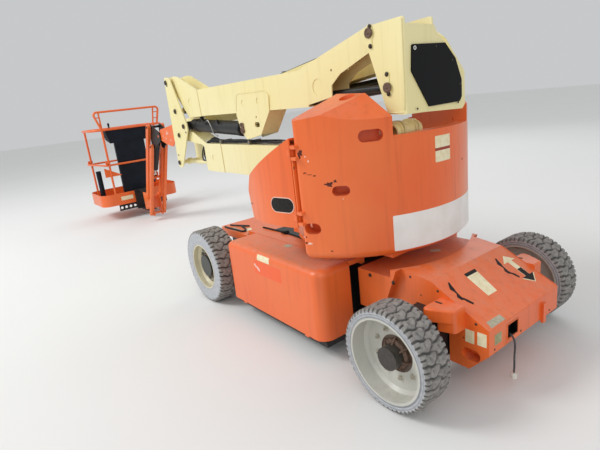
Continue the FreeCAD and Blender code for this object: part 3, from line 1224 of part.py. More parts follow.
def charger_lead():
    # Lead hanging from the inlet, with a plug a little above the ground
    x0 = nose_tip_station - inlet_recess
    y0 = inlet_place_y - 22
    z0 = inlet_place_z - 22
    points = [vec(x0, y0, z0), vec(x0 + 36, y0, z0 + 2), vec(x0 + 57, y0 + 1, z0 - 28), vec(x0 + 58, y0 + 4, z0 - 75),
              vec(x0 + 54, y0 + 5, z0 - 130), vec(x0 + 54, y0 + 9, z0 - 180), vec(x0 + 51, y0 + 10, z0 - 222)]
    edges = []
    last = points[0]
    total = 0.0
    for index in range(1, len(points) - 1):
        corner = points[index]
        back = last.sub(corner)
        full_back = points[index - 1].sub(corner)
        ahead = points[index + 1].sub(corner)
        shorter = min(full_back.Length, ahead.Length)
        back.normalize()
        ahead.normalize()
        half = back.getAngle(ahead) / 2
        turn = math.pi - 2 * half
        bend = 0.45 * shorter / math.tan(turn / 2)
        print("lead bend %d radius %.1f mm" % (index, bend))
        reach = bend / math.tan(half)
        start = corner.add(FreeCAD.Vector(back).multiply(reach))
        stop = corner.add(FreeCAD.Vector(ahead).multiply(reach))
        middle = back.add(ahead)
        middle.normalize()
        tip = corner.add(middle.multiply(bend / math.sin(half) - bend))
        edges.append(Part.LineSegment(last, start).toShape())
        edges.append(Part.Arc(start, tip, stop).toShape())
        last = stop
    edges.append(Part.LineSegment(last, points[-1]).toShape())
    path = Part.Wire(edges)
    section = Part.Wire(Part.makeCircle(lead_radius, points[0], points[1].sub(points[0])))
    lead = path.makePipeShell([section], True, False)
    print("lead length %.1f mm, volume ratio %.4f" % (path.Length, lead.Volume / (path.Length * math.pi * lead_radius ** 2)))
    nodes["charger_lead"] = lead
    end = points[-1]
    plug = Part.makeCylinder(16, 30, vec(end.x, end.y, end.z - 30), vec(0, 0, 1))
    for dy in (-7, 7):
        plug = plug.fuse(Part.makeCylinder(2.5, 12, vec(end.x, end.y + dy, end.z - 42), vec(0, 0, 1)))
    nodes["charger_plug"] = plug


wheels()
knuckle(-1, "right")
knuckle(1, "left")
chassis()
packs = battery_side(-1, "right") + battery_side(1, "left")
nodes["battery_packs"] = Part.makeCompound([packs[0], packs[2]])
nodes["chassis_frame"] = nodes["chassis_frame"].multiFuse([packs[1], packs[3]]).removeSplitter()
turntable()
counterweight()
hood(-1, "right")
hood(1, "left")
lower_boom()
mid_boom()
tower_link()
ram("tower_cylinder", (cyl_pin_station, cyl_pin_height), (bracket_pin_station, bracket_pin_height),
    tower_barrel_radius, tower_rod_radius, stack_y, 90, 60, pin_radius, 20)
upright()
main_boom()
fly_boom()
ram("main_cylinder", (main_cyl_station, main_cyl_height), main_point(main_lug_reach, main_lug_drop),
    main_barrel_radius, main_rod_radius, main_y, 60, 30, pin_radius, 18)
jib()
platform_support()
platform_pan()
platform_rails()
entry_bar()
platform_console()
charger_lead()

os.makedirs("parts", exist_ok=True)
for name, shape in nodes.items():
    placed = shape.copy()
    placed.translate(vec(x_shift, 0, 0))
    placed.exportStep("parts/" + name + ".step")
    print("%-24s solids %d volume %.4f m3 valid %s" % (name, len(placed.Solids), placed.Volume * 1e-9, placed.isValid()))
print("x shift", x_shift)
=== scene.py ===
import math
import bmesh
import bpy
import numpy as np
from mathutils import Matrix, Vector


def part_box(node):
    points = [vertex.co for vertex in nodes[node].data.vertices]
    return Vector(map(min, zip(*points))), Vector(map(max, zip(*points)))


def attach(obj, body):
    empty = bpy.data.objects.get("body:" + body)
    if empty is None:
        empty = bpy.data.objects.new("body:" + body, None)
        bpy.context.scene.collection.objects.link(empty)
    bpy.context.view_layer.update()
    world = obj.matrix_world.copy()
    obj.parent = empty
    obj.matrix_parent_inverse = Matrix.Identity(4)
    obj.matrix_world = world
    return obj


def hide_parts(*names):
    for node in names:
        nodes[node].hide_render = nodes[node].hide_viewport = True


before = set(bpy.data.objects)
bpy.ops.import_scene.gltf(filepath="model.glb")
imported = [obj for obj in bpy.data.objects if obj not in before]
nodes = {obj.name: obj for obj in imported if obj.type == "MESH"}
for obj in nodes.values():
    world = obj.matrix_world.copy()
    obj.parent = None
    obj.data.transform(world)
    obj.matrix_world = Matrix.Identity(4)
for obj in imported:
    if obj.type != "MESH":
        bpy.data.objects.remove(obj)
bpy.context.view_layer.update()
print("stage: frame loaded,", len(nodes), "nodes")

# Stations run along the machine from its rear axle; the counterweight's back gives their place in the frame
swingStation = 1.1
drumRadius = 0.75
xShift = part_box("counterweight")[1][0] - swingStation - drumRadius


def at(x, y, z):
    # station coordinates, numbers or arrays, to frame coordinates
    return np.stack(np.broadcast_arrays(np.asarray(x, float) + xShift, y, z), axis=-1).astype(float)


# ---- camera
cameraView = {"place": (3.42, -2.182, 1.575), "azimuth": 54.17, "elevation": 15.53, "roll": -6.456, "lens": 27.43}


def makeCamera(view):
    az, el, roll = (math.radians(view[key]) for key in ("azimuth", "elevation", "roll"))
    back = Vector((math.sin(az) * math.cos(el), -math.cos(az) * math.cos(el), math.sin(el)))
    side = Vector((0, 0, 1)).cross(back).normalized()
    rise = back.cross(side)
    right = side * math.cos(roll) + rise * math.sin(roll)
    up = rise * math.cos(roll) - side * math.sin(roll)
    data = bpy.data.cameras.new("photoCamera")
    data.lens = view["lens"]
    data.sensor_width = 36
    data.clip_end = 200
    camera = bpy.data.objects.new("photoCamera", data)
    bpy.context.scene.collection.objects.link(camera)
    pose = Matrix((right, up, back)).transposed().to_4x4()
    pose.translation = Vector(at(*view["place"]))
    camera.matrix_world = pose
    bpy.context.scene.camera = camera


makeCamera(cameraView)

# ---- charger lead, hanging from the inlet with its plug just above the ground
leadLook = {"start": (2.296, -0.154, 0.300), "diameter": 0.010, "length": 0.262,
            "steps": ((0.036, 0, 0.002), (0.057, 0.001, -0.028), (0.058, 0.004, -0.075), (0.054, 0.005, -0.130),
                      (0.054, 0.009, -0.180), (0.051, 0.010, -0.222))}


def makeLead(look):
    start = np.array(look["start"])
    points = [start] + [start + np.array(step) for step in look["steps"]]
    curve = bpy.data.curves.new("chargerLead", "CURVE")
    curve.dimensions = "3D"
    # the tube is bevel depth times each point's radius; the curve's box grows by that radius alone
    curve.bevel_depth = 1.0
    curve.bevel_resolution = 4
    curve.resolution_u = 12
    curve.use_fill_caps = True
    spline = curve.splines.new("NURBS")
    spline.points.add(len(points) - 1)
    for item, point in zip(spline.points, points):
        item.co = (*at(*point), 1)
        item.radius = look["diameter"] / 2
    spline.order_u = 3
    spline.use_endpoint_u = True
    lead = bpy.data.objects.new("chargerLead", curve)
    bpy.context.scene.collection.objects.link(lead)
    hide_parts("charger_lead")
    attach(lead, "chassis")
    tuple(at(*start))
    return lead


chargerLead = makeLead(leadLook)
print("stage: camera and lead placed")


# ---- shapes as grids of points
def gridFaces(rows, cols, wrapRows=False, wrapCols=True):
    # quads between neighbours of a rows by cols grid
    r = np.arange(rows if wrapRows else rows - 1)[:, None]
    c = np.arange(cols if wrapCols else cols - 1)[None, :]
    r2, c2 = (r + 1) % rows, (c + 1) % cols
    quads = np.stack(np.broadcast_arrays(r * cols + c, r * cols + c2, r2 * cols + c2, r2 * cols + c), axis=-1)
    return quads.reshape(-1, 4).tolist()


def skin(points, wrapRows=False, caps=True):
    # a closed skin over rings of points, the first and last ring closed by one face each
    rows, cols = points.shape[:2]
    faces = gridFaces(rows, cols, wrapRows)
    if caps and not wrapRows:
        faces.append(list(range(cols)))
        faces.append(list(range((rows - 1) * cols, rows * cols)))
    return points.reshape(-1, 3), faces


def lathe(centre, axis, profile, sides=32, wrap=False):
    # profile of (height along the axis, radius) turned round the axis
    axis = Vector(axis).normalized()
    u = axis.orthogonal().normalized()
    v = axis.cross(u)
    turn = np.linspace(0, 2 * math.pi, sides, endpoint=False)
    ring = np.cos(turn)[:, None] * np.array(u) + np.sin(turn)[:, None] * np.array(v)
    heights, radii = np.array(profile, float).T
    points = np.array(centre) + heights[:, None, None] * np.array(axis) + radii[:, None, None] * ring[None]
    return skin(points, wrapRows=wrap)


def smoothPath(points, count=10):
    # Catmull-Rom curve through the points, count steps between each two
    p = np.array(points, float)
    p = np.vstack([2 * p[0] - p[1], p, 2 * p[-1] - p[-2]])
    t = np.linspace(0, 1, count, endpoint=False)[None, :, None]
    a, b, c, d = (p[k:len(p) - 3 + k][:, None, :] for k in range(4))
    curve = 0.5 * (2 * b + (c - a) * t + (2 * a - 5 * b + 4 * c - d) * t ** 2 + (3 * b - a - 3 * c + d) * t ** 3)
    return np.vstack([curve.reshape(-1, 3), p[-2]])


def sweep(path, section, scale=None):
    # section of (side, up) carried along a path, square to it, with no twist
    path = np.asarray(path, float)
    tangent = np.gradient(path, axis=0)
    tangent /= np.linalg.norm(tangent, axis=1)[:, None]
    up = np.array(Vector(tangent[0]).orthogonal().normalized())
    ups = []
    for t in tangent:
        up = up - t * np.dot(up, t)
        up = up / np.linalg.norm(up)
        ups.append(up)
    ups = np.array(ups)
    side = np.cross(tangent, ups)
    size = np.ones(len(path)) if scale is None else np.asarray(scale)
    section = np.asarray(section, float)
    points = path[:, None] + size[:, None, None] * (section[None, :, :1] * side[:, None]
                                                    + section[None, :, 1:] * ups[:, None])
    return skin(points)


def circle(radius, sides=14):
    turn = np.linspace(0, 2 * math.pi, sides, endpoint=False)
    return np.stack([radius * np.cos(turn), radius * np.sin(turn)], axis=1)


def tube(points, radius, sides=14, count=10):
    return sweep(smoothPath(points, count), circle(radius, sides))


def straightTube(a, b, radius, sides=16):
    return sweep(np.linspace(a, b, 3), circle(radius, sides))


def roundRect(width, height, radius, steps=5):
    # outline of a rectangle with round corners, about its middle
    turn = np.linspace(0, math.pi / 2, steps)
    parts = []
    for k, (sx, sy) in enumerate(((1, 1), (-1, 1), (-1, -1), (1, -1))):
        centre = np.array([sx * (width / 2 - radius), sy * (height / 2 - radius)])
        angle = turn + k * math.pi / 2
        parts.append(centre + radius * np.stack([np.cos(angle), np.sin(angle)], axis=1))
    return np.vstack(parts)


def chipOutline(size, seed, ragged=0.35, stretch=1.0):
    # ragged outline: a circle whose radius is a sum of sines
    rng = np.random.default_rng(seed)
    turn = np.linspace(0, 2 * math.pi, 26, endpoint=False)
    radius = np.ones_like(turn)
    for order in range(2, 8):
        radius += ragged * rng.uniform(-1, 1) * np.sin(order * turn + rng.uniform(0, 6.28)) / order ** 0.6
    radius = np.clip(radius, 0.35, 1.8) * size / 2
    return np.stack([radius * np.cos(turn) * stretch, radius * np.sin(turn)], axis=1)


def fine(outline, step=0.012):
    # the same outline with no two points further apart than step
    following = np.roll(outline, -1, axis=0)
    counts = np.maximum(np.ceil(np.linalg.norm(following - outline, axis=1) / step).astype(int), 1)
    return np.vstack([a + (b - a) * np.linspace(0, 1, n, endpoint=False)[:, None]
                      for a, b, n in zip(outline, following, counts)])


def patch(outline, place, thickness, rings=6):
    # thin lens that follows a surface: rings from its middle to the outline on top, and back underneath
    share = np.linspace(0.04, 1, rings)
    share = np.concatenate([share, share[::-1]])
    lift = np.concatenate([np.full(rings, thickness), np.full(rings, -0.0002)])
    uv = share[:, None, None] * outline[None]
    points = place(uv[..., 0], uv[..., 1], np.broadcast_to(lift[:, None], uv.shape[:2]))
    return skin(points)


def plate(outline, place, thickness, base=-0.0002):
    # flat plate of any outline, with its two faces and its edge
    outline = np.asarray(outline, float)
    rows = [place(outline[:, 0], outline[:, 1], np.full(len(outline), lift)) for lift in (thickness, base)]
    return skin(np.stack(rows))


def planePlace(origin, u, v):
    # puts (u, v, lift) on a flat face that passes through origin
    origin, u, v = (np.array(item, float) for item in (origin, u, v))
    u, v = u / np.linalg.norm(u), v / np.linalg.norm(v)
    out = np.cross(u, v)
    return lambda a, b, lift: origin + a[..., None] * u + b[..., None] * v + np.asarray(lift)[..., None] * out


def drumPlace(angle, z, radius=drumRadius, tilt=0.0):
    # puts (u, v, lift) on the upright drum about the swing axis, u running round it
    c, s = math.cos(tilt), math.sin(tilt)

    def place(u, v, lift):
        turn = angle + (u * c - v * s) / radius
        reach = radius + np.asarray(lift)
        return at(swingStation + reach * np.cos(turn), reach * np.sin(turn), z + v * c + u * s)

    return place


def bolt(centre, axis, size=0.009, washer=True):
    # hexagon head with a chamfer, on a round washer; size is the head's radius
    parts = []
    rise = 0.0
    if washer:
        parts.append(lathe(centre, axis, ((-0.001, size * 1.5), (0.0016, size * 1.5), (0.0022, size * 1.4)), 20))
        rise = 0.002
    head = ((rise - 0.001, size), (rise + size * 0.62, size), (rise + size * 0.74, size * 0.84))
    parts.append(lathe(centre, axis, head, 6))
    return parts


def dome(centre, axis, radius, height, sides=24):
    t = np.linspace(0, math.pi / 2 * 0.96, 7)
    profile = [(-0.001, radius)] + [(height * math.sin(a), radius * math.cos(a)) for a in t]
    return lathe(centre, axis, profile, sides)


def weld(points, radius=0.0035, step=0.004):
    # bead along a line, its radius rippled as the arc's puddles leave it
    path = smoothPath(points, 24) if len(points) > 2 else np.linspace(points[0], points[1], 60)
    run = np.concatenate([[0], np.cumsum(np.linalg.norm(np.diff(path, axis=0), axis=1))])
    return sweep(path, circle(radius, 8), 1 + 0.14 * np.sin(run * 2 * math.pi / (step * 3)))


def boxPart(low, high, bevel=0.003):
    # box with its edges cut at 45 degrees: stacked rounded rectangles
    low, high = np.array(low, float), np.array(high, float)
    size = high - low
    inset = min(bevel, size.min() * 0.3)
    rows = []
    for z, shrink in ((low[2], inset), (low[2] + inset, 0), (high[2] - inset, 0), (high[2], inset)):
        outline = roundRect(size[0] - 2 * shrink, size[1] - 2 * shrink, max(inset, 0.0006), 4)
        middle = (low + high) / 2
        rows.append(np.column_stack([middle[0] + outline[:, 0], middle[1] + outline[:, 1],
                                     np.full(len(outline), z)]))
    return skin(np.stack(rows))


def makePiece(name, parts, material, body, slot, sharp=38):
    # joins the parts into one mesh at the origin, faces turned outwards, and sets it on its body
    vertices, faces, start = [], [], 0
    for points, quads in parts:
        vertices.append(points)
        faces += [[index + start for index in quad] for quad in quads]
        start += len(points)
    mesh = bpy.data.meshes.new(name)
    mesh.from_pydata(np.vstack(vertices).tolist(), [], faces)
    shell = bmesh.new()
    shell.from_mesh(mesh)
    bmesh.ops.recalc_face_normals(shell, faces=shell.faces)
    shell.to_mesh(mesh)
    shell.free()
    mesh.shade_smooth()
    mesh.set_sharp_from_angle(angle=math.radians(sharp))
    mesh.materials.append(material)
    piece = bpy.data.objects.new(name, mesh)
    bpy.context.scene.collection.objects.link(piece)
    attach(piece, body)
    return piece


# ---- materials: colours as sRGB hex, sizes of marks in mm, each named for what it is made of
def linear(code):
    # sRGB hex to the linear colour that a shader takes
    parts = [int(code[k:k + 2], 16) / 255 for k in (0, 2, 4)]
    return tuple(c / 12.92 if c <= 0.04045 else ((c + 0.055) / 1.055) ** 2.4 for c in parts) + (1.0,)


def addNode(tree, kind, settings=None, links=None):
    # one node, its properties or input values, and the outputs that feed it
    item = tree.nodes.new(kind)
    for key, value in (settings or {}).items():
        if isinstance(key, str) and hasattr(item, key):
            setattr(item, key, value)
        else:
            item.inputs[key].default_value = value
    for key, output in (links or {}).items():
        tree.links.new(output, item.inputs[key])
    return item


mixFactor, mixA, mixB, mixOut = 0, 6, 7, 2


def startMaterial(name):
    material = bpy.data.materials.new(name)
    material.use_nodes = True
    return material, material.node_tree, material.node_tree.nodes["Principled BSDF"]


# Sprayed machine paint: gloss gone chalky where the sun falls, dust on what faces up, streaks down the sides,
# knocks through to primer and rust. mm values are the real sizes of the marks.
def sprayedPaint(name, look):
    material, tree, shader = startMaterial(name)
    coords = addNode(tree, "ShaderNodeTexCoord")
    place = coords.outputs["Object"]
    fade = addNode(tree, "ShaderNodeTexNoise", {"Scale": 1000 / look["fadeMm"], "Detail": 3.0}, {"Vector": place})
    fadeShare = addNode(tree, "ShaderNodeMapRange", {"From Min": 0.35, "From Max": 0.7}, {"Value": fade.outputs[0]})
    body = addNode(tree, "ShaderNodeMix", {"data_type": "RGBA", mixA: linear(look["colour"]),
                                           mixB: linear(look["faded"])}, {mixFactor: fadeShare.outputs[0]})
    facing = addNode(tree, "ShaderNodeSeparateXYZ", {}, {"Vector": coords.outputs["Normal"]})
    upward = addNode(tree, "ShaderNodeMapRange", {"From Min": 0.55, "From Max": 1.0, "To Max": look["dust"]},
                     {"Value": facing.outputs["Z"]})
    grime = addNode(tree, "ShaderNodeTexNoise", {"Scale": 1000 / look["grimeMm"], "Detail": 6.0, "Roughness": 0.65},
                    {"Vector": place})
    grimeShare = addNode(tree, "ShaderNodeMapRange", {"From Min": 0.3, "From Max": 0.65},
                         {"Value": grime.outputs[0]})
    dust = addNode(tree, "ShaderNodeMath", {"operation": "MULTIPLY"},
                   {0: upward.outputs[0], 1: grimeShare.outputs[0]})
    dusty = addNode(tree, "ShaderNodeMix", {"data_type": "RGBA", mixB: linear(look["dustColour"])},
                    {mixFactor: dust.outputs[0], mixA: body.outputs[mixOut]})
    stretch = addNode(tree, "ShaderNodeMapping", {"Scale": (26, 26, 1.6)}, {"Vector": place})
    run = addNode(tree, "ShaderNodeTexNoise", {"Scale": 1.0, "Detail": 4.0}, {"Vector": stretch.outputs[0]})
    runShare = addNode(tree, "ShaderNodeMapRange", {"From Min": 0.52, "From Max": 0.8, "To Max": look["streaks"]},
                       {"Value": run.outputs[0]})
    streaked = addNode(tree, "ShaderNodeMix", {"data_type": "RGBA", mixB: linear(look["streakColour"])},
                       {mixFactor: runShare.outputs[0], mixA: dusty.outputs[mixOut]})
    spots = addNode(tree, "ShaderNodeTexNoise", {"Scale": 1000 / look["chipMm"], "Detail": 5.0, "Roughness": 0.62},
                    {"Vector": place})
    cluster = addNode(tree, "ShaderNodeTexNoise", {"Scale": 2.7, "Detail": 2.0}, {"Vector": place})
    clusterShare = addNode(tree, "ShaderNodeMapRange", {"From Min": 0.42, "From Max": 0.72, "To Max": 0.09},
                           {"Value": cluster.outputs[0]})
    hit = addNode(tree, "ShaderNodeMath", {"operation": "ADD"}, {0: spots.outputs[0], 1: clusterShare.outputs[0]})
    chip = addNode(tree, "ShaderNodeMapRange", {"From Min": look["chipLevel"], "From Max": look["chipLevel"] + 0.012},
                   {"Value": hit.outputs[0]})
    chipped = addNode(tree, "ShaderNodeMix", {"data_type": "RGBA", mixB: linear(look["chipColour"])},
                      {mixFactor: chip.outputs[0], mixA: streaked.outputs[mixOut]})
    finish = chipped.outputs[mixOut]
    spread = addNode(tree, "ShaderNodeSeparateXYZ", {}, {"Vector": place})
    for zone in look.get("zones", ()):
        if "centre" in zone:
            flat = addNode(tree, "ShaderNodeCombineXYZ", {}, {"X": spread.outputs["X"], "Z": spread.outputs["Z"]})
            gap = addNode(tree, "ShaderNodeVectorMath", {"operation": "DISTANCE",
                                                         1: (zone["centre"][0] + xShift, 0, zone["centre"][1])},
                          {0: flat.outputs[0]}).outputs["Value"]
            reach = zone["radius"]
        else:
            gap, reach = spread.outputs["X"], zone["before"] + xShift
        inside = addNode(tree, "ShaderNodeMapRange", {"From Min": reach + 0.001, "From Max": reach - 0.001},
                         {"Value": gap})
        blotch = addNode(tree, "ShaderNodeMix", {"data_type": "RGBA", mixA: linear(zone["colour"]),
                                                 mixB: linear(zone["second"])}, {mixFactor: grimeShare.outputs[0]})
        finish = addNode(tree, "ShaderNodeMix", {"data_type": "RGBA"},
                         {mixFactor: inside.outputs[0], mixA: finish, mixB: blotch.outputs[mixOut]}).outputs[mixOut]
    rough = addNode(tree, "ShaderNodeMapRange", {"To Min": look["roughness"], "To Max": look["roughness"] + 0.28},
                    {"Value": dust.outputs[0]})
    peel = addNode(tree, "ShaderNodeTexNoise", {"Scale": 1000 / 4.0, "Detail": 2.0}, {"Vector": place})
    wave = addNode(tree, "ShaderNodeTexNoise", {"Scale": 9.0, "Detail": 1.0}, {"Vector": place})
    height = addNode(tree, "ShaderNodeMath", {"operation": "MULTIPLY_ADD", 1: look["ripple"]},
                     {0: wave.outputs[0], 2: peel.outputs[0]})
    sunk = addNode(tree, "ShaderNodeMath", {"operation": "SUBTRACT"}, {0: height.outputs[0], 1: chip.outputs[0]})
    bump = addNode(tree, "ShaderNodeBump", {"Strength": look["bump"], "Distance": 0.0006},
                   {"Height": sunk.outputs[0]})
    tree.links.new(finish, shader.inputs["Base Color"])
    tree.links.new(rough.outputs[0], shader.inputs["Roughness"])
    tree.links.new(bump.outputs[0], shader.inputs["Normal"])
    shader.inputs["Coat Weight"].default_value = look["coat"]
    shader.inputs["Coat Roughness"].default_value = 0.22
    return material


orangeLook = {"colour": "ea6424", "faded": "ec7434", "fadeMm": 900, "dust": 0.62, "dustColour": "d98a6c",
              "grimeMm": 70, "streaks": 0.28, "streakColour": "a8431c", "chipMm": 22, "chipLevel": 0.775,
              "chipColour": "5b2b1c", "roughness": 0.36, "ripple": 6.0, "bump": 0.22, "coat": 0.25}
creamLook = {"colour": "ecdfa2", "faded": "f0e6b6", "fadeMm": 1100, "dust": 0.6, "dustColour": "c9b993",
             "grimeMm": 60, "streaks": 0.22, "streakColour": "b7a468", "chipMm": 20, "chipLevel": 0.79,
             "chipColour": "6a5138", "roughness": 0.38, "ripple": 4.0, "bump": 0.18, "coat": 0.2}
blackLook = {"colour": "0d0e10", "faded": "17181a", "fadeMm": 500, "dust": 0.5, "dustColour": "3c3833",
             "grimeMm": 45, "streaks": 0.3, "streakColour": "4a4540", "chipMm": 15, "chipLevel": 0.77,
             "chipColour": "53392b", "roughness": 0.46, "ripple": 3.0, "bump": 0.3, "coat": 0.05}
wheelLook = {"colour": "c9c8bf", "faded": "bdbcb2", "fadeMm": 260, "dust": 0.35, "dustColour": "8f877b",
             "grimeMm": 30, "streaks": 0.16, "streakColour": "9a9284", "chipMm": 14, "chipLevel": 0.755,
             "chipColour": "8a4a26", "roughness": 0.4, "ripple": 3.0, "bump": 0.25, "coat": 0.1}
orangePaint = sprayedPaint("sprayedOrangePaint", orangeLook)
creamPaint = sprayedPaint("sprayedCreamPaint", creamLook)
blackPaint = sprayedPaint("sprayedBlackPaint", blackLook)
# rusted hub castings in the middle of the pale rims, and the cap or drive in the middle of those
frontRimPaint = sprayedPaint("sprayedFrontRimPaint", {**wheelLook, "zones": (
    {"centre": (2.0, 0.275), "radius": 0.102, "colour": "4a3a30", "second": "6f5a4b"},
    {"centre": (2.0, 0.275), "radius": 0.064, "colour": "2d2a27", "second": "403a35"})})
rearRimPaint = sprayedPaint("sprayedRearRimPaint", {**wheelLook, "colour": "d8cfae", "faded": "c9c0a2", "zones": (
    {"centre": (0.0, 0.306), "radius": 0.152, "colour": "232625", "second": "34352f"},)})
deepOrange = sprayedPaint("sprayedOrangeCasting", {**orangeLook, "ripple": 14.0, "fadeMm": 600, "dust": 0.45})
# turret plates are orange, the sleeve of the tower's lower pin is cream
framePaint = sprayedPaint("sprayedTurretPaint", {**orangeLook, "zones": (
    {"centre": (1.696, 1.333), "radius": 0.075, "colour": "e2d49c", "second": "cfc08a"},)})
# the telescoping section is cream, its head dipped in orange
flyPaint = sprayedPaint("sprayedFlyPaint", {**creamLook, "zones": (
    {"before": -2.10, "colour": "ea6424", "second": "ec7030"},)})
coverOrange = sprayedPaint("mouldedOrangeCover", {**orangeLook, "colour": "e96124", "faded": "ed7032",
                                                  "ripple": 9.0, "chipMm": 16, "dust": 0.8, "roughness": 0.42})
brightOrange = sprayedPaint("touchedUpOrangePaint", {**orangeLook, "colour": "f4540c", "faded": "f25a12",
                                                     "chipLevel": 0.9, "streaks": 0.05})


# Plain finishes that differ by few values: colour mottled at a real size, fine bump, set gloss
def plainFinish(name, look):
    material, tree, shader = startMaterial(name)
    coords = addNode(tree, "ShaderNodeTexCoord")
    mottle = addNode(tree, "ShaderNodeTexNoise", {"Scale": 1000 / look["mottleMm"], "Detail": 5.0},
                     {"Vector": coords.outputs["Object"]})
    share = addNode(tree, "ShaderNodeMapRange", {"From Min": 0.36, "From Max": 0.68}, {"Value": mottle.outputs[0]})
    colour = addNode(tree, "ShaderNodeMix", {"data_type": "RGBA", mixA: linear(look["colour"]),
                                             mixB: linear(look["second"])}, {mixFactor: share.outputs[0]})
    rough = addNode(tree, "ShaderNodeMapRange", {"To Min": look["roughness"], "To Max": look["roughness"] + 0.16},
                    {"Value": mottle.outputs[0]})
    grain = addNode(tree, "ShaderNodeTexNoise", {"Scale": 1000 / look["grainMm"], "Detail": 2.0},
                    {"Vector": coords.outputs["Object"]})
    bump = addNode(tree, "ShaderNodeBump", {"Strength": look["bump"], "Distance": 0.0004},
                   {"Height": grain.outputs[0]})
    tree.links.new(colour.outputs[mixOut], shader.inputs["Base Color"])
    tree.links.new(rough.outputs[0], shader.inputs["Roughness"])
    tree.links.new(bump.outputs[0], shader.inputs["Normal"])
    shader.inputs["Metallic"].default_value = look["metallic"]
    shader.inputs["Specular IOR Level"].default_value = look["shine"]
    return material


# Zinc plate gives a grey gloss, oiled and cast iron are brown, ground rods are bright; hose is braided rubber;
# mouldings are dull with little shine; stickers are smooth vinyl; chips show primer and scuffs pale, worn paint
finishColumns = ("colour", "second", "mottleMm", "roughness", "grainMm", "bump", "metallic", "shine")
finishRows = (
    ("zincPlatedSteel", "a9a79f", "7c7870", 8, 0.32, 1.2, 0.15, 0.9, 0.5),
    ("oiledDarkSteel", "3b352f", "5d5145", 9, 0.4, 1.5, 0.25, 0.6, 0.5),
    ("rustedCastIron", "5a463a", "7d6353", 14, 0.66, 2.5, 0.6, 0.15, 0.5),
    ("groundChrome", "d9d8d4", "c5c3be", 40, 0.12, 3, 0.03, 1.0, 0.5),
    ("braidedHoseRubber", "16171a", "24252a", 12, 0.5, 1.6, 0.5, 0.0, 0.5),
    ("mouldedSlatePlastic", "0c121b", "141c28", 120, 0.52, 1.2, 0.3, 0.0, 0.22),
    ("mouldedBlackPlastic", "060709", "0c0d10", 60, 0.48, 1.0, 0.25, 0.0, 0.2),
    ("mouldedRedPlastic", "b3241a", "9c2018", 30, 0.3, 1.0, 0.1, 0.0, 0.5),
    ("mouldedWhitePlastic", "e6e4dc", "cfccc0", 16, 0.34, 0.9, 0.1, 0.0, 0.5),
    ("extrudedCableSheath", "3d3d40", "515155", 20, 0.42, 0.9, 0.15, 0.0, 0.5),
    ("printedCreamVinyl", "efe6c4", "e3d6aa", 24, 0.3, 2, 0.06, 0.0, 0.5),
    ("printedWhiteVinyl", "eeece8", "e4e0da", 120, 0.28, 2, 0.05, 0.0, 0.5),
    ("paintedWheelNuts", "c8c4b6", "a39c8a", 6, 0.45, 1.2, 0.2, 0.0, 0.5),
    ("weatheredGreyVinyl", "b9b49c", "a39a82", 18, 0.4, 2, 0.08, 0.0, 0.5),
    ("weatheredGreenVinyl", "a7a77c", "8f8d68", 16, 0.4, 2, 0.08, 0.0, 0.5),
    ("blackMarkingVinyl", "121110", "241f1c", 14, 0.4, 2, 0.08, 0.0, 0.25),
    ("darkRedVinyl", "8f2f1e", "a33c26", 20, 0.35, 2, 0.05, 0.0, 0.5),
    ("chippedToPrimer", "6b2a1b", "3c1d15", 7, 0.7, 1.5, 0.6, 0.0, 0.5),
    ("scuffedOrangePaint", "e8957a", "e3b3a2", 7, 0.6, 1.5, 0.4, 0.0, 0.5),
    ("scuffedPaint", "e6b7a4", "f0d6c8", 9, 0.6, 1.5, 0.4, 0.0, 0.5),
)
(zincSteel, darkSteel, rustIron, chrome, hoseRubber, slatePlastic, blackPlastic, redPlastic, whitePlastic,
 greyCable, creamVinyl, whiteVinyl, nutPaint, greyVinyl, greenVinyl, blackVinyl, redBand, barePrimer, scuffPink,
 scuffWhite) = (
    plainFinish(name, dict(zip(finishColumns, values))) for name, *values in finishRows)


# Solid rubber cast on a band: the sidewall keeps a chalky blue-white bloom, the tread is worn grey-brown; the grooves
# are darkened with painted shade, and the sidewall's seams are dark lines
def solidRubber():
    material, tree, shader = startMaterial("castSolidRubber")
    coords = addNode(tree, "ShaderNodeTexCoord")
    place = coords.outputs["Object"]
    bloom = addNode(tree, "ShaderNodeAttribute", {"attribute_name": "bloom"})
    wear = addNode(tree, "ShaderNodeTexNoise", {"Scale": 1000 / 26, "Detail": 6.0, "Roughness": 0.7},
                   {"Vector": place})
    wearShare = addNode(tree, "ShaderNodeMapRange", {"From Min": 0.35, "From Max": 0.62}, {"Value": wear.outputs[0]})
    tread = addNode(tree, "ShaderNodeMix", {"data_type": "RGBA", mixA: linear("73706d"), mixB: linear("98948f")},
                    {mixFactor: wearShare.outputs[0]})
    wall = addNode(tree, "ShaderNodeMix", {"data_type": "RGBA", mixA: linear("a5a8ad"), mixB: linear("babcbf")},
                   {mixFactor: wearShare.outputs[0]})
    both = addNode(tree, "ShaderNodeMix", {"data_type": "RGBA"},
                   {mixFactor: bloom.outputs["Fac"], mixA: tread.outputs[mixOut], mixB: wall.outputs[mixOut]})
    # painted shade in the tread grooves, together with the sidewall's dark seam lines, read from the groove attribute
    depth = addNode(tree, "ShaderNodeAttribute", {"attribute_name": "groove"})
    grooveShadeAndSeams = addNode(tree, "ShaderNodeMix", {"data_type": "RGBA", mixB: linear("33312f")},
                   {mixFactor: depth.outputs["Fac"], mixA: both.outputs[mixOut]})
    bump = addNode(tree, "ShaderNodeBump", {"Strength": 0.5, "Distance": 0.0012}, {"Height": wear.outputs[0]})
    tree.links.new(grooveShadeAndSeams.outputs[mixOut], shader.inputs["Base Color"])
    tree.links.new(bump.outputs[0], shader.inputs["Normal"])
    shader.inputs["Roughness"].default_value = 0.72
    return material


rubber = solidRubber()

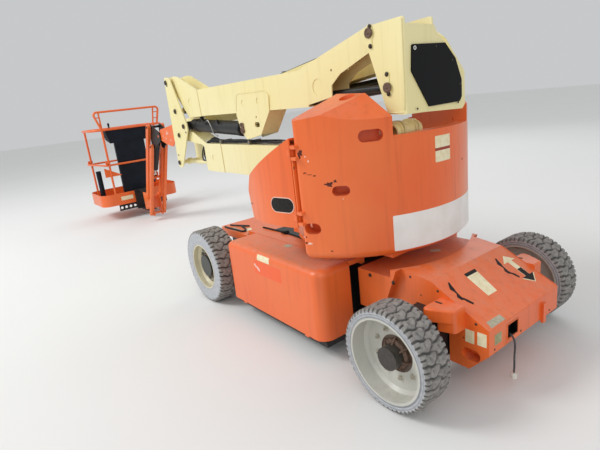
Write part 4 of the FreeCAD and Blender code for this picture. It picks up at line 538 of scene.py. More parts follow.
nodeFinish = {
    orangePaint: ["chassis_cowl", "rear_deck", "side_hood_right", "side_hood_left", "jib_arm", "jib_levelling_rods",
                  "jib_foot", "platform_pan", "platform_rails", "entry_bar"],
    deepOrange: ["counterweight"],
    coverOrange: ["battery_cover_right", "battery_cover_left"],
    creamPaint: ["lower_boom", "lower_levelling_rod", "tower_link", "mid_boom", "upright", "main_boom"],
    frontRimPaint: ["front_rim_right", "front_rim_left"],
    rearRimPaint: ["rear_rim_right", "rear_rim_left"],
    framePaint: ["turntable_frame"],
    flyPaint: ["fly_boom"],
    blackPaint: ["chassis_frame", "power_unit", "steer_knuckle_right", "steer_knuckle_left", "battery_packs",
                 "platform_support", "tower_cylinder_barrel", "main_cylinder_barrel", "jib_cylinder_barrel",
                 "jib_bracket", "mid_levelling_rod"],
    blackPlastic: ["charger_inlet", "upright_cover"],
    slatePlastic: ["platform_console"],
    whitePlastic: ["charger_plug"],
    chrome: ["tower_cylinder_rod", "main_cylinder_rod", "jib_cylinder_rod"],
    rubber: ["front_tyre_right", "front_tyre_left", "rear_tyre_right", "rear_tyre_left"],
}
for material, names in nodeFinish.items():
    for name in names:
        slots = nodes[name].material_slots
        for item in slots:
            item.material = material
        if not slots:
            nodes[name].data.materials.append(material)
chargerLead.data.materials.append(greyCable)
print("stage: materials set on every node")

# ---- tyres: sizes in metres, lugs counted round the tread; depth is how far a groove goes in
tyreLooks = {
    "front": {"station": 2.0, "radius": 0.275, "width": 0.18, "bore": 0.228, "lugs": 28, "depth": 0.009,
              "shoulder": 0.016},
    "rear": {"station": 0.0, "radius": 0.306, "width": 0.20, "bore": 0.190, "lugs": 26, "depth": 0.013,
             "shoulder": 0.018},
}
# half widths of the grooves in metres; lean, ringAt, notchFrom and zigzag are shares of the half width or the pitch
treadLook = {"turns": 560, "across": 26, "lean": 0.34, "grooveHalf": 0.0075, "notchHalf": 0.006, "ringHalf": 0.0035,
             "zigzagHalf": 0.0055, "slope": 0.003, "ringAt": 0.55, "notchFrom": 0.72, "zigzag": 0.16,
             "seams": ((0.0050, 1.0), (0.0200, 0.6))}
halfTrackOut = 0.75
bothSides = ((-1, "right"), (1, "left"))


def bell(value, middle, width):
    # 1 at the middle, falling off as a bell curve of this width
    return np.exp(-((value - middle) / width) ** 2)


def makeTyre(name, look, side, body, node):
    # A profile turned round the axle. Its radius drops where a groove runs: slanted side grooves, a notch at the
    # shoulder between two of them, a broken ring, and a zigzag round the middle
    half, radius, bore, shoulder = look["width"] / 2, look["radius"], look["bore"], look["shoulder"]
    slope, lugLength = treadLook["slope"], 2 * math.pi * radius / look["lugs"]
    angle = np.linspace(0, 2 * math.pi, treadLook["turns"], endpoint=False)
    across = np.linspace(-half + shoulder, half - shoulder, treadLook["across"])
    roundOff = np.linspace(0, math.pi / 2, 5)[:-1]
    edgeY = -half + shoulder - shoulder * np.cos(roundOff)
    edgeR = radius - shoulder + shoulder * np.sin(roundOff)
    wallR = np.linspace(bore, radius - shoulder, 9)[:-1]
    wallY = -half + 0.0035 * bell(wallR, bore + 0.012, 0.004) + 0.0025 * bell(wallR, bore + 0.028, 0.003)
    y = np.concatenate([wallY, edgeY, across, -edgeY[::-1], -wallY[::-1]])[:, None]
    r = np.concatenate([wallR, edgeR, np.full(len(across), radius), edgeR[::-1], wallR[::-1]])[:, None]
    pitch = angle[None, :] * look["lugs"] / (2 * math.pi)
    out = np.abs(y)
    phase = pitch + treadLook["lean"] * out / half + 0.05 * np.sin(out * 120) + np.where(y > 0, 0.5, 0.0)
    gap = np.abs(phase - np.round(phase)) * lugLength
    groove = np.clip((treadLook["grooveHalf"] - gap) / slope, 0, 1) * np.clip((out - half * 0.1) / (half * 0.08), 0, 1)
    notch = np.abs(phase + 0.5 - np.round(phase + 0.5)) * lugLength
    groove = np.maximum(groove, np.clip((treadLook["notchHalf"] - notch) / slope, 0, 1)
                        * np.clip((out - half * treadLook["notchFrom"]) / 0.004, 0, 1))
    ring = half * (treadLook["ringAt"] + 0.10 * np.sign(np.sin(2 * math.pi * (phase + 0.25))))
    groove = np.maximum(groove, 0.7 * np.clip((treadLook["ringHalf"] - np.abs(out - ring)) / 0.002, 0, 1)
                        * (np.sin(2 * math.pi * phase) > 0))
    zigzag = half * (treadLook["zigzag"] * np.sin(2 * math.pi * pitch) + 0.05 * np.sin(4 * math.pi * pitch + 1))
    groove = np.maximum(groove, np.clip((treadLook["zigzagHalf"] - np.abs(y - zigzag)) / slope, 0, 1) * 0.8)
    tread = np.clip((r - (radius - shoulder * 1.2)) / (shoulder * 0.6), 0, 1)
    cut = groove * tread
    knock = 0.12 * np.sin(7 * pitch * 2 * math.pi / look["lugs"] * 3 + y * 90)
    worn = r - look["depth"] * cut * (1 + knock) - 0.0012 * tread * (0.5 + 0.5 * np.sin(pitch * 5 + y * 130))
    middle = at(look["station"], side * (halfTrackOut - half), radius)
    points = np.stack([middle[0] + worn * np.sin(angle)[None],
                       middle[1] + np.broadcast_to(y, worn.shape) * (1 - 0.004 * cut),
                       middle[2] + worn * np.cos(angle)[None]], axis=-1)
    piece = makePiece(name, [skin(points, wrapRows=True)], rubber, body, "tyre_rubber", 42)
    chalk = np.clip((radius - shoulder * 0.75 - worn) / 0.006, 0, 1) * (1 - cut)
    seam = sum(share * bell(r, bore + place, 0.0030) for place, share in treadLook["seams"])
    # mask of painted shade in the grooves, joined with the dark seam lines low on the sidewall
    grooveShadeAndSeams = np.maximum(cut, 0.9 * np.broadcast_to(seam, cut.shape) * (1 - tread))
    for label, values in (("bloom", chalk), ("groove", grooveShadeAndSeams * 0.75)):
        layer = piece.data.attributes.new(label, "FLOAT", "POINT")
        layer.data.foreach_set("value", values.astype(np.float32).ravel())
    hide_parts(node)


for end, look in tyreLooks.items():
    for side, name in bothSides:
        makeTyre("%sTyre.%s" % (end, name), look, side, "%s_wheel_%s" % (end, name), "%s_tyre_%s" % (end, name))
print("stage: tyres made")

# ---- wheel hubs: nuts on studs, webbed hub and its cap; disc is the rim's face, as y
hubLook = {"front": {"disc": 0.645, "nutCircle": 0.134, "nuts": 9, "capRadius": 0.050, "capReach": 0.072},
           "rear": {"disc": 0.690, "nutCircle": 0.125, "nuts": 9, "capRadius": 0.07, "capReach": 0.03}}
studShape = ((0.004, 0.006), (0.021, 0.006), (0.023, 0.004))
# shares of the cap's reach and radius
capShape = ((0.0, 1.0), (0.30, 1.0), (0.32, 0.94), (0.62, 0.94), (0.76, 0.91), (0.87, 0.84), (0.95, 0.72), (1.0, 0.54),
            (1.0, 0.30), (0.95, 0.26))
# along the axle, and out from the tyre's bore
beadShape = ((0.0, -0.004), (0.003, 0.001), (-0.006, 0.001), (-0.006, -0.006))
webCount = 7


def wheelTrim(end, side, name):
    look, tyre = hubLook[end], tyreLooks[end]
    body, out = "%s_wheel_%s" % (end, name), (0, side, 0)
    middle = at(tyre["station"], side * look["disc"], tyre["radius"])
    nuts, studs = [], []
    for k in range(look["nuts"]):
        turn = 2 * math.pi * (k + 0.3) / look["nuts"]
        centre = middle + look["nutCircle"] * np.array([math.sin(turn), 0, math.cos(turn)])
        nuts += bolt(centre, out, 0.0115)
        studs.append(lathe(centre, out, studShape, 12))
    makePiece("%sWheelNuts.%s" % (end, name), nuts, nutPaint, body, "chrome_rod")
    makePiece("%sWheelStuds.%s" % (end, name), studs, nutPaint, body, "chrome_rod")
    cap, reach = look["capRadius"], look["capReach"]
    parts = [lathe(middle, out, ((-0.002, cap + 0.032), (0.012, cap + 0.03), (0.018, cap + 0.018),
                                 (0.02, cap + 0.002)), 36)]
    outline = [(cap * 0.7, 0), (cap + 0.043, 0.001), (cap + 0.036, 0.014), (cap * 0.8, reach * 0.72)]
    for k in range(webCount):
        turn = 2 * math.pi * k / webCount
        parts.append(plate(outline, planePlace(middle, (math.sin(turn), 0, math.cos(turn)), out), 0.004, -0.004))
    makePiece("%sHubWebs.%s" % (end, name), parts, rustIron, body, "black_frame", 30)
    parts = [lathe(middle, out, [(reach * run, cap * wide) for run, wide in capShape], 40)]
    parts += bolt(middle + np.array(out) * (reach - 0.004), out, 0.008, False)
    makePiece("%sHubCap.%s" % (end, name), parts, rustIron, body, "black_frame", 30)
    rim = lathe(at(tyre["station"], side * (halfTrackOut - 0.006), tyre["radius"]), out,
                [(run, tyre["bore"] + rise) for run, rise in beadShape], 96, wrap=True)
    makePiece("%sRimBead.%s" % (end, name), [rim], frontRimPaint if end == "front" else rearRimPaint, body,
              "cream_paint", 25)


for end in tyreLooks:
    for side, name in bothSides:
        wheelTrim(end, side, name)
print("stage: wheels dressed")

# ---- counterweight: blank banner and plates, knocks. Rows: name, middle, width, height, corner, material, rings
drumPlates = (("blankBanner", (1.848, 0.02, 0.792), 0.775, 0.205, 0.006, whiteVinyl, 36),
              ("blankPlateUpper", (1.849, -0.013, 1.258), 0.128, 0.066, 0.004, creamVinyl, 14),
              ("blankPlateBand", (1.849, -0.013, 1.217), 0.128, 0.014, 0.001, redBand, 14),
              ("blankPlateLower", (1.849, -0.013, 1.178), 0.128, 0.062, 0.004, creamVinyl, 14))
for name, middle, width, height, corner, material, rings in drumPlates:
    place = drumPlace(math.atan2(middle[1], middle[0] - swingStation), middle[2])
    makePiece(name, [patch(fine(roundRect(width, height, corner, 6)), place, 0.0012, rings)], material, "turntable",
              "white_plastic", 50)

# x, y, z, size and stretch of each mark
knocks = ((1.413, -0.681, 1.278, 0.040, 0.7), (1.371, -0.699, 1.203, 0.016, 0.5), (1.430, -0.674, 1.172, 0.006, 4.0),
          (1.455, -0.661, 1.162, 0.004, 7.0), (1.479, -0.647, 1.155, 0.006, 3.5), (1.544, -0.604, 1.104, 0.024, 1.7),
          (1.556, -0.596, 1.112, 0.012, 1.0), (1.572, -0.583, 1.120, 0.016, 1.0), (1.40, -0.687, 0.80, 0.009, 1.0),
          (1.397, -0.689, 0.765, 0.010, 1.6), (1.53, -0.614, 0.72, 0.007, 2.0), (1.82, 0.21, 1.12, 0.010, 1.4),
          (1.70, 0.45, 0.98, 0.014, 1.0), (1.58, 0.578, 1.2, 0.018, 1.5), (1.45, 0.663, 0.86, 0.010, 1.2))
specks = ((1.455, -0.661, 1.236, 0.010, 1.0), (1.44, -0.668, 1.262, 0.007, 1.3), (1.418, -0.678, 0.762, 0.012, 2.2),
          (1.386, -0.693, 0.800, 0.007, 1.0), (1.60, -0.56, 1.02, 0.006, 1.0))


def drumMarks(rows, seed, ragged, thickness):
    # ragged lens for each row, its outline drawn from its own seed
    return [patch(chipOutline(size, seed + k, ragged, stretch), drumPlace(math.atan2(y, x - swingStation), z),
                  thickness, 4) for k, (x, y, z, size, stretch) in enumerate(rows)]


makePiece("castingChips", drumMarks(knocks, 11, 0.5, 0.0005), barePrimer, "turntable", "orange_paint")
makePiece("castingSpecks", drumMarks(specks, 41, 0.4, 0.0004), scuffWhite, "turntable", "orange_paint")
# plates that close the casting's ends behind the hoods' edges: x, y as seen from the middle, z
endPlate = {"x": (1.3525, 1.3625), "y": (0.600, 0.6985), "z": (0.865, 1.328)}
ends = []
for side in (-1, 1):
    low, high = sorted(side * y for y in endPlate["y"])
    ends.append(boxPart(at(endPlate["x"][0], low, endPlate["z"][0]), at(endPlate["x"][1], high, endPlate["z"][1]),
                        0.001))
makePiece("castingEndPlates", ends, deepOrange, "turntable", "orange_paint")
print("stage: counterweight dressed")

# ---- side hoods: blank badge in a pale edge, screw; width, height and corner of both outlines
hoodLook = {"drum": 0.745, "badge": (1.250, 0.727, 0.982), "edge": (0.186, 0.094, 0.046), "face": (0.176, 0.084, 0.041),
            "screwTurn": 1.87, "screwZ": 0.945}
for side, name in bothSides:
    body, (x, y, z), drum = "side_hood_" + name, hoodLook["badge"], hoodLook["drum"]
    place = drumPlace(math.atan2(side * y, x - swingStation), z, drum)
    makePiece("badgeEdge." + name, [patch(roundRect(*hoodLook["edge"], 9), place, 0.0016, 8)], scuffWhite, body,
              "white_plastic", 50)
    makePiece("blankBadge." + name, [patch(roundRect(*hoodLook["face"], 9), place, 0.0026, 8)], blackVinyl, body,
              "dark_plastic", 50)
    turn = side * hoodLook["screwTurn"]
    spot = at(swingStation + drum * math.cos(turn), drum * math.sin(turn), hoodLook["screwZ"])
    makePiece("hoodScrew." + name, [dome(spot, (math.cos(turn), math.sin(turn), 0), 0.008, 0.003, 16)], darkSteel,
              body, "black_frame")
print("stage: hoods dressed")


def turned(outline, degrees, middle):
    # outline turned about its own middle, then moved there
    a = math.radians(degrees)
    return np.asarray(outline) @ np.array([[math.cos(a), math.sin(a)], [-math.sin(a), math.cos(a)]]) + middle


# ---- battery covers and deck straps; centres and sizes on the wall are x and z
coverLook = {"wall": 0.70, "top": 0.592, "patch": (0.325, 0.098, 0.006), "patchAt": (0.93, 0.478),
             "sticker": (0.146, 0.042, 0.004), "stickerX": 0.895, "stickerTurn": 0.20, "edgeRadius": 0.045,
             "edgeAxis": (0.655, 0.547), "plate": (0.062, 0.045, 0.004), "plateAt": (0.903, 0.487)}
scrap = np.array([(0.770, 0.497), (0.786, 0.503), (0.798, 0.486), (0.816, 0.484), (0.836, 0.470), (0.840, 0.455),
                  (0.828, 0.452), (0.812, 0.463), (0.800, 0.474), (0.786, 0.476), (0.776, 0.484)])
strapRun = ((0.345, 0.331, 0.597), (0.45, 0.327, 0.599), (0.60, 0.320, 0.597), (0.78, 0.325, 0.598),
            (0.98, 0.345, 0.597))
strapSection = np.array([(0.004, -0.005), (0.004, 0.005), (-0.004, 0.005), (-0.004, -0.005)]) * 1.1


def dressCover(side, name):
    body, radius, (axisY, axisZ) = "battery_cover_" + name, coverLook["edgeRadius"], coverLook["edgeAxis"]
    flat = planePlace(at(0.0, side * coverLook["wall"], 0.0), (-side, 0, 0), (0, 0, 1))

    def onWall(a, b, lift):
        return flat(-side * a, b, lift)

    def onEdge(a, b, lift):
        # v runs round the cover's rounded top edge, and straight down the wall below it
        turn = b / radius + coverLook["stickerTurn"]
        bent, reach = np.maximum(turn, 0), radius + np.asarray(lift)
        return at(coverLook["stickerX"] - side * a, side * (axisY + reach * np.cos(bent)),
                  axisZ + reach * np.sin(bent) + radius * np.minimum(turn, 0))

    makePiece("paintPatch." + name, [plate(roundRect(*coverLook["patch"]) + np.array(coverLook["patchAt"]), onWall,
                                           0.0005)], brightOrange, body, "orange_paint")
    makePiece("tornScrap." + name, [plate(scrap, onWall, 0.0009)], scuffWhite, body, "white_plastic")
    makePiece("coverSticker." + name, [patch(fine(roundRect(*coverLook["sticker"]), 0.006), onEdge, 0.0012, 10)],
              creamVinyl, body, "white_plastic")
    x, y = coverLook["plateAt"]
    makePiece("coverSmallPlate." + name,
              [plate(roundRect(*coverLook["plate"]) + np.array([x, side * y]),
                     planePlace(at(0.0, 0.0, coverLook["top"]), (1, 0, 0), (0, 1, 0)), 0.0012)],
              greyVinyl, body, "white_plastic")
    # elastic strap that runs along the deck strip, with its buckle
    run = smoothPath([at(x, side * y, z) for x, y, z in strapRun], 10)
    makePiece("deckStrap." + name, [sweep(run, strapSection)], blackPlastic, "chassis", "dark_plastic")
    clip = [boxPart(at(x0, side * 0.320 - half, z0), at(x1, side * 0.320 + half, z1), 0.004)
            for x0, x1, half, z0, z1 in ((0.60, 0.675, 0.016, 0.593, 0.609), (0.64, 0.662, 0.024, 0.595, 0.614))]
    makePiece("strapClip." + name, clip, blackPlastic, "chassis", "dark_plastic")


for side, name in bothSides:
    dressCover(side, name)
print("stage: battery covers dressed")

# ---- chassis nose: stickers, arrows, screws, seams. On the slope, run goes down from the crease and y across
noseCrease, noseTip = np.array([1.99, 0, 0.568]), np.array([2.33, 0, 0.390])
onNose = planePlace(at(*noseCrease), noseTip - noseCrease, (0, 1, 0))
onSide = planePlace(at(2.0, -0.35, 0.0), (1, 0, 0), (0, 0, 1))
onSideFar = planePlace(at(2.0, 0.35, 0.0), (-1, 0, 0), (0, 0, 1))
onFace = planePlace(at(noseTip[0], 0, 0), (0, 1, 0), (0, 0, 1))
onCowl = planePlace(at(0, 0, 0.592), (1, 0, 0), (0, 1, 0))


def chainMark(points, widths):
    # outline round a bent line, as wide at each point as the table says
    points, widths = np.array(points), np.array(widths) / 2
    run = np.gradient(points, axis=0)
    run /= np.linalg.norm(run, axis=1)[:, None]
    across = np.stack([-run[:, 1], run[:, 0]], axis=1) * widths[:, None]
    return np.vstack([points + across, (points - across)[::-1]])


def chassisMark(name, outlines, place, thickness, material=creamVinyl, slot="white_plastic"):
    # blank sticker or painted mark on a flat face of the chassis
    makePiece(name, [plate(outline, place, thickness) for outline in outlines], material, "chassis", slot)


chainWidths = (0.010, 0.017, 0.028, 0.014, 0.010, 0.024, 0.022, 0.013, 0.018, 0.013)
chains = (((0.057, -0.256), (0.078, -0.269), (0.098, -0.279), (0.118, -0.279), (0.134, -0.281), (0.154, -0.291),
           (0.170, -0.288), (0.178, -0.277), (0.196, -0.270), (0.224, -0.257)),
          ((0.061, 0.195), (0.082, 0.184), (0.102, 0.173), (0.120, 0.172), (0.138, 0.170), (0.158, 0.160),
           (0.174, 0.162), (0.184, 0.172), (0.202, 0.183), (0.229, 0.191)))
creamHalf = np.array([(0.068, 0.263), (0.117, 0.318), (0.117, 0.282), (0.182, 0.280), (0.182, 0.240), (0.117, 0.242),
                      (0.117, 0.200)])
blackHalf = np.array([(0.291, 0.256), (0.242, 0.202), (0.242, 0.238), (0.182, 0.240), (0.182, 0.280), (0.242, 0.278),
                      (0.242, 0.314)])
arrowMiddle = np.array([0.18, 0.26])
stickerHead = [(0.056, -0.117), (0.056, -0.014), (0.078, -0.018), (0.078, -0.118)]
sideSpots = ((2.225, 0.33), (2.292, 0.335))
chassisMark("blackLinkMarks", [chainMark(points, chainWidths) for points in chains], onNose, 0.0008, blackVinyl,
            "dark_plastic")
chassisMark("creamArrow", [creamHalf], onNose, 0.0007)
chassisMark("arrowEdge", [(blackHalf - arrowMiddle) * np.array([1.06, 1.12]) + arrowMiddle], onNose, 0.0006)
chassisMark("blackArrow", [blackHalf], onNose, 0.0010, blackVinyl, "dark_plastic")
chassisMark("noseSticker", [[(0.056, -0.117), (0.056, -0.014), (0.228, -0.043), (0.228, -0.127)]], onNose, 0.0008)
chassisMark("noseStickerHead", [stickerHead], onNose, 0.0013, blackVinyl, "dark_plastic")
chassisMark("edgeSticker", [[(0.336, -0.305), (0.339, -0.190), (0.374, -0.188), (0.374, -0.314)]], onNose, 0.0008,
            greyVinyl)
chassisMark("faceSticker", [roundRect(0.062, 0.058, 0.003) + np.array([-0.27, 0.325])], onFace, 0.0008, greenVinyl)
for name, place, way in (("sideStickers", onSide, 1), ("sideStickersFar", onSideFar, -1)):
    chassisMark(name, [roundRect(0.05, 0.072, 0.003) + np.array([way * (x - 2.0), z]) for x, z in sideSpots], place,
                0.0008)
chassisMark("deckSticker", [turned(roundRect(0.062, 0.04, 0.003), 50, np.array([1.765, 0.0]))], onCowl, 0.0008,
            greyVinyl)

# x and z of the screws and rivets on the side faces, x of the bolts on the cowl, y of the screws on the front face
noseFixings = {"screws": ((1.86, 0.560), (2.04, 0.525), (2.15, 0.468), (2.26, 0.410)),
               "rivets": ((2.19, 0.31), (1.93, 0.40), (1.93, 0.47)), "bolts": (1.60, 1.78),
               "front": (-0.30, -0.05, 0.26)}
screws, rivets, seams = [], [], []
for side in (-1, 1):
    screws += [dome(at(x, side * 0.35, z), (0, side, 0), 0.0075, 0.004, 16) for x, z in noseFixings["screws"]]
    rivets += [dome(at(x, side * 0.35, z), (0, side, 0), 0.0045, 0.002, 12) for x, z in noseFixings["rivets"]]
    for x in noseFixings["bolts"]:
        screws += bolt(at(x, side * 0.4, 0.52), (0, side, 0), 0.008)
    seams.append(weld([at(1.99, side * 0.348, 0.5695), at(2.325, side * 0.348, 0.394)], 0.0022, 0.003))
screws += [dome(at(2.33, y, 0.275), (1, 0, 0), 0.006, 0.003, 14) for y in noseFixings["front"]]
makePiece("noseScrews", screws, darkSteel, "chassis", "black_frame")
makePiece("noseRivets", rivets, darkSteel, "chassis", "black_frame")
makePiece("noseSeams", seams, orangePaint, "chassis", "orange_paint")
# lip, liner and socket of the charger inlet: y0, y1, z0, z1 of each bar
lipBars = ((-0.188, -0.182, 0.2845, 0.3595), (-0.082, -0.076, 0.2845, 0.3595), (-0.188, -0.076, 0.3595, 0.3655),
           (-0.188, -0.076, 0.2785, 0.2845))
linerBars = ((-0.182, -0.082, 0.2848, 0.2878), (-0.182, -0.082, 0.3562, 0.3592), (-0.1818, -0.1788, 0.2848, 0.3592),
             (-0.0852, -0.0822, 0.2848, 0.3592))
for name, bars, x0, x1, bevel, material, slot in (
        ("inletLip", lipBars, 2.3285, 2.333, 0.0015, orangePaint, "orange_paint"),
        ("inletLiner", linerBars, 2.296, 2.3285, 0.001, blackPlastic, "dark_plastic")):
    makePiece(name, [boxPart(at(x0, y0, z0), at(x1, y1, z1), bevel) for y0, y1, z0, z1 in bars], material, "chassis",
              slot)
socketShape = ((0, 0.019), (0.006, 0.018), (0.016, 0.010), (0.034, 0.0066))
makePiece("inletSocket", [lathe(at(2.2955, -0.154, 0.300), (1, 0, 0), socketShape, 24)], blackPlastic, "chassis",
          "dark_plastic")
print("stage: nose dressed")

# ---- marks on top of the bump boxes
for side, name in bothSides:
    mark = boxPart(at(2.06, side * 0.40 - 0.006, 0.4895), at(2.10, side * 0.40 + 0.006, 0.4925), 0.001)
    makePiece("boxTopMark." + name, [mark], darkSteel, "chassis", "black_frame")

# ---- rear deck: hose loops, blank stickers, bolts
deckTop = 0.545
deckLoops = ((((-0.13, -0.43, 0.551), (-0.05, -0.432, 0.553), (0.06, -0.425, 0.554), (0.14, -0.418, 0.553),
               (0.155, -0.395, 0.553), (0.10, -0.36, 0.553), (0.0, -0.335, 0.552)), 0.008),
             (((-0.14, -0.37, 0.551), (-0.08, -0.355, 0.553), (-0.02, -0.325, 0.553), (0.05, -0.29, 0.552)), 0.007))
makePiece("deckHoses", [tube([at(*point) for point in loop], radius) for loop, radius in deckLoops], hoseRubber,
          "chassis", "dark_plastic")
onDeck = planePlace(at(0, 0, deckTop), (1, 0, 0), (0, 1, 0))
chassisMark("rearDeckSticker", [turned(roundRect(0.09, 0.05, 0.004), -28, np.array([0.13, -0.345]))], onDeck, 0.001)
chassisMark("rearDeckPlate", [turned(roundRect(0.11, 0.05, 0.004), -4, np.array([0.0, -0.41]))], onDeck, 0.001,
            greyVinyl)
screws = []
for x in (-0.15, 0.05, 0.25):
    for y in (-0.42, 0.42):
        screws += bolt(at(x, y, deckTop), (0, 0, 1), 0.007)
makePiece("rearDeckScrews", screws, zincSteel, "chassis", "chrome_rod")
print("stage: rear deck dressed")


# ---- pins, keepers and bolts of the tower
def pinHead(x, y, z, side, radius=0.026):
    # pin end with a turned rim, a shallow recess and a grease nipple
    centre = at(x, y, z)
    return [lathe(centre, (0, side, 0), ((-0.004, radius), (0.003, radius), (0.006, radius * 0.86),
                                         (0.006, radius * 0.6), (0.003, radius * 0.5), (0.003, radius * 0.2)), 32),
            dome(centre + np.array((0, side * 0.003, 0)), (0, side, 0), radius * 0.2, 0.006, 12)]


nearFace = -0.265
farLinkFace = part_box("tower_link")[1][1] - 0.008
# x, z of the pins and bolts on the link, and of each upright pin with its two bolts
linkPins = ((-1.280, 1.862), (-1.168, 1.573), (-1.026, 1.419), (-1.172, 1.333), (-1.284, 1.044))
linkBolts = ((-1.284, 1.124), (-1.273, 1.83), (-1.0, 1.36))
uprightPins = (((1.588, 1.862), ((1.597, 1.893), (1.594, 1.795))), ((1.700, 1.573), ((1.699, 1.641), (1.705, 1.541))))
heads, bolts = [], []
for x, z in linkPins:
    heads += pinHead(x, nearFace - 0.008, z, -1, 0.024)
    heads += pinHead(x, farLinkFace + 0.008, z, 1, 0.024)
for x, z in linkBolts:
    bolts += bolt(at(x, nearFace, z), (0, -1, 0), 0.007)
makePiece("linkPinHeads", heads, darkSteel, "tower_link", "black_frame", 30)
makePiece("linkBolts", bolts, zincSteel, "tower_link", "chrome_rod")
bars, heads, bolts = [], [], []
for (x, z), spots in uprightPins:
    heads += pinHead(x, nearFace - 0.010, z, -1, 0.027)
    for bx, bz in spots:
        bolts += bolt(at(bx, nearFace - 0.006, bz), (0, -1, 0), 0.0085)
        bars.append(boxPart(at(min(x, bx) - 0.011, nearFace - 0.006, min(z, bz) - 0.004),
                            at(max(x, bx) + 0.011, nearFace + 0.001, max(z, bz) + 0.012), 0.003))
makePiece("uprightPinHeads", heads, rustIron, "upright", "black_frame", 30)
makePiece("uprightKeepers", bars, creamPaint, "upright", "cream_paint")
makePiece("uprightBolts", bolts, darkSteel, "upright", "black_frame")

# welds and flange lip of the upright, and the ring and screws of its cover
welds = [weld([at(1.81, -0.2655, 1.46), at(1.81, -0.2655, 1.86)], 0.0022),
         weld([at(1.62, -0.2655, 1.4405), at(1.80, -0.2655, 1.4405)], 0.003)]
makePiece("uprightWelds", welds, creamPaint, "upright", "cream_paint")
lipRun = np.array([at(x, -0.2665, z) for x, z in ((1.802, 1.455), (1.806, 1.50), (1.808, 1.60), (1.808, 1.895))])
makePiece("uprightLip", [sweep(lipRun, roundRect(0.012, 0.006, 0.002))], creamPaint, "upright", "cream_paint")
ringShape = ((-0.002, 0.010), (0.002, 0.010), (0.003, 0.008), (0.001, 0.0065), (-0.002, 0.0065))
makePiece("coverRing", [lathe(at(1.829, -0.196, 1.752), (1, 0, 0), ringShape, 24)], whiteVinyl, "upright",
          "white_plastic")
coverScrews = ((-0.19, 1.45), (0.17, 1.45), (0.188, 1.55), (0.12, 1.68), (-0.02, 1.755))
makePiece("coverScrews", [dome(at(1.828, y, z), (1, 0, 0), 0.006, 0.003, 14) for y, z in coverScrews], darkSteel,
          "upright", "black_frame")

# ---- booms: welds round the plates, bracket pin and its lock
beads = [weld([at(-0.685, y, 1.747), at(-0.668, y, 1.503)], 0.003) for y in (-0.228, -0.072)]
bracketRun = ((0.002, 1.52), (0.041, 1.640), (0.06, 1.653), (0.45, 1.649), (0.49, 1.63), (0.503, 1.60), (0.492, 1.52))
beads.append(sweep(np.array([at(x, -0.2315, z) for x, z in bracketRun]), circle(0.0032, 8)))
makePiece("midBoomWelds", beads, creamPaint, "mid_boom", "cream_paint")
makePiece("lowerBoomWelds", [weld([at(-0.372, -0.2285, 1.245), at(-0.366, -0.2285, 0.986)], 0.003)], creamPaint,
          "lower_boom", "cream_paint")
bracketPin = (0.074, 1.364)
rodHeads = [part for y, side in ((-0.239, -1), (-0.061, 1)) for part in pinHead(bracketPin[0], y, bracketPin[1], side,
                                                                             0.027)]
makePiece("bracketPinHead", rodHeads, rustIron, "mid_boom", "black_frame", 30)
lockBolt = [boxPart(at(0.052, -0.243, 1.388), at(0.096, -0.236, 1.424), 0.003)]
lockBolt += bolt(at(0.068, -0.243, 1.412), (0, -1, 0), 0.009)
makePiece("bracketPinLock", lockBolt, rustIron, "mid_boom", "black_frame")
print("stage: booms dressed")

# ---- tower cylinder: gland, ports, hose; runs are measured from its base pin
cylBase = np.array([-1.026, 1.419])
cylRun = (np.array(bracketPin) - cylBase) / np.linalg.norm(np.array(bracketPin) - cylBase)


def onCylinder(run, y, lift):
    # a point beside the tower cylinder's axis: run along it, lift square to it
    return at(cylBase[0] + cylRun[0] * run - cylRun[1] * lift, y, cylBase[1] + cylRun[1] * run + cylRun[0] * lift)


axis = (cylRun[0], 0, cylRun[1])
parts = [lathe(onCylinder(run, y, lift), way, shape, count) for run, y, lift, way, shape, count in (
    (0.925, -0.15, 0, axis, ((0, 0.0625), (0.002, 0.066), (0.045, 0.066), (0.05, 0.062), (0.052, 0.037)), 40),
    (0.13, -0.15, 0, axis, ((0, 0.0625), (0.002, 0.066), (0.02, 0.066), (0.022, 0.0625)), 40),
    (0.20, -0.15, 0.055, (-cylRun[1], 0, cylRun[0]), ((0, 0.016), (0.03, 0.016), (0.033, 0.013)), 20),
    (0.62, -0.20, 0.042, (-cylRun[1], -0.5, cylRun[0]), ((0, 0.013), (0.03, 0.013), (0.033, 0.01)), 20))]
makePiece("towerCylinderRings", parts, blackPaint, "tower_cylinder_barrel", "black_frame", 30)
# run, y, lift of the hose from its port to the fitting, and of the pipe from there
blackRun = ((0.20, -0.15, 0.085), (0.22, -0.175, 0.115), (0.33, -0.215, 0.05), (0.40, -0.222, 0.045),
            (0.455, -0.222, 0.068))
silverRun = ((0.455, -0.222, 0.068), (0.475, -0.224, 0.062), (0.52, -0.226, 0.01), (0.55, -0.224, -0.045),
             (0.60, -0.21, -0.075))
makePiece("towerCylinderHose", [tube([onCylinder(*point) for point in blackRun], 0.009)], hoseRubber,
          "tower_cylinder_barrel", "dark_plastic")
makePiece("towerCylinderPipe", [tube([onCylinder(*point) for point in silverRun], 0.0055, 12)], zincSteel,
          "tower_cylinder_barrel", "chrome_rod")
makePiece("towerCylinderFitting", [lathe(onCylinder(0.447, -0.222, 0.062), (0.9, 0, 0.25),
                                         ((0, 0.011), (0.022, 0.011), (0.024, 0.008)), 6)], zincSteel,
          "tower_cylinder_barrel", "chrome_rod")

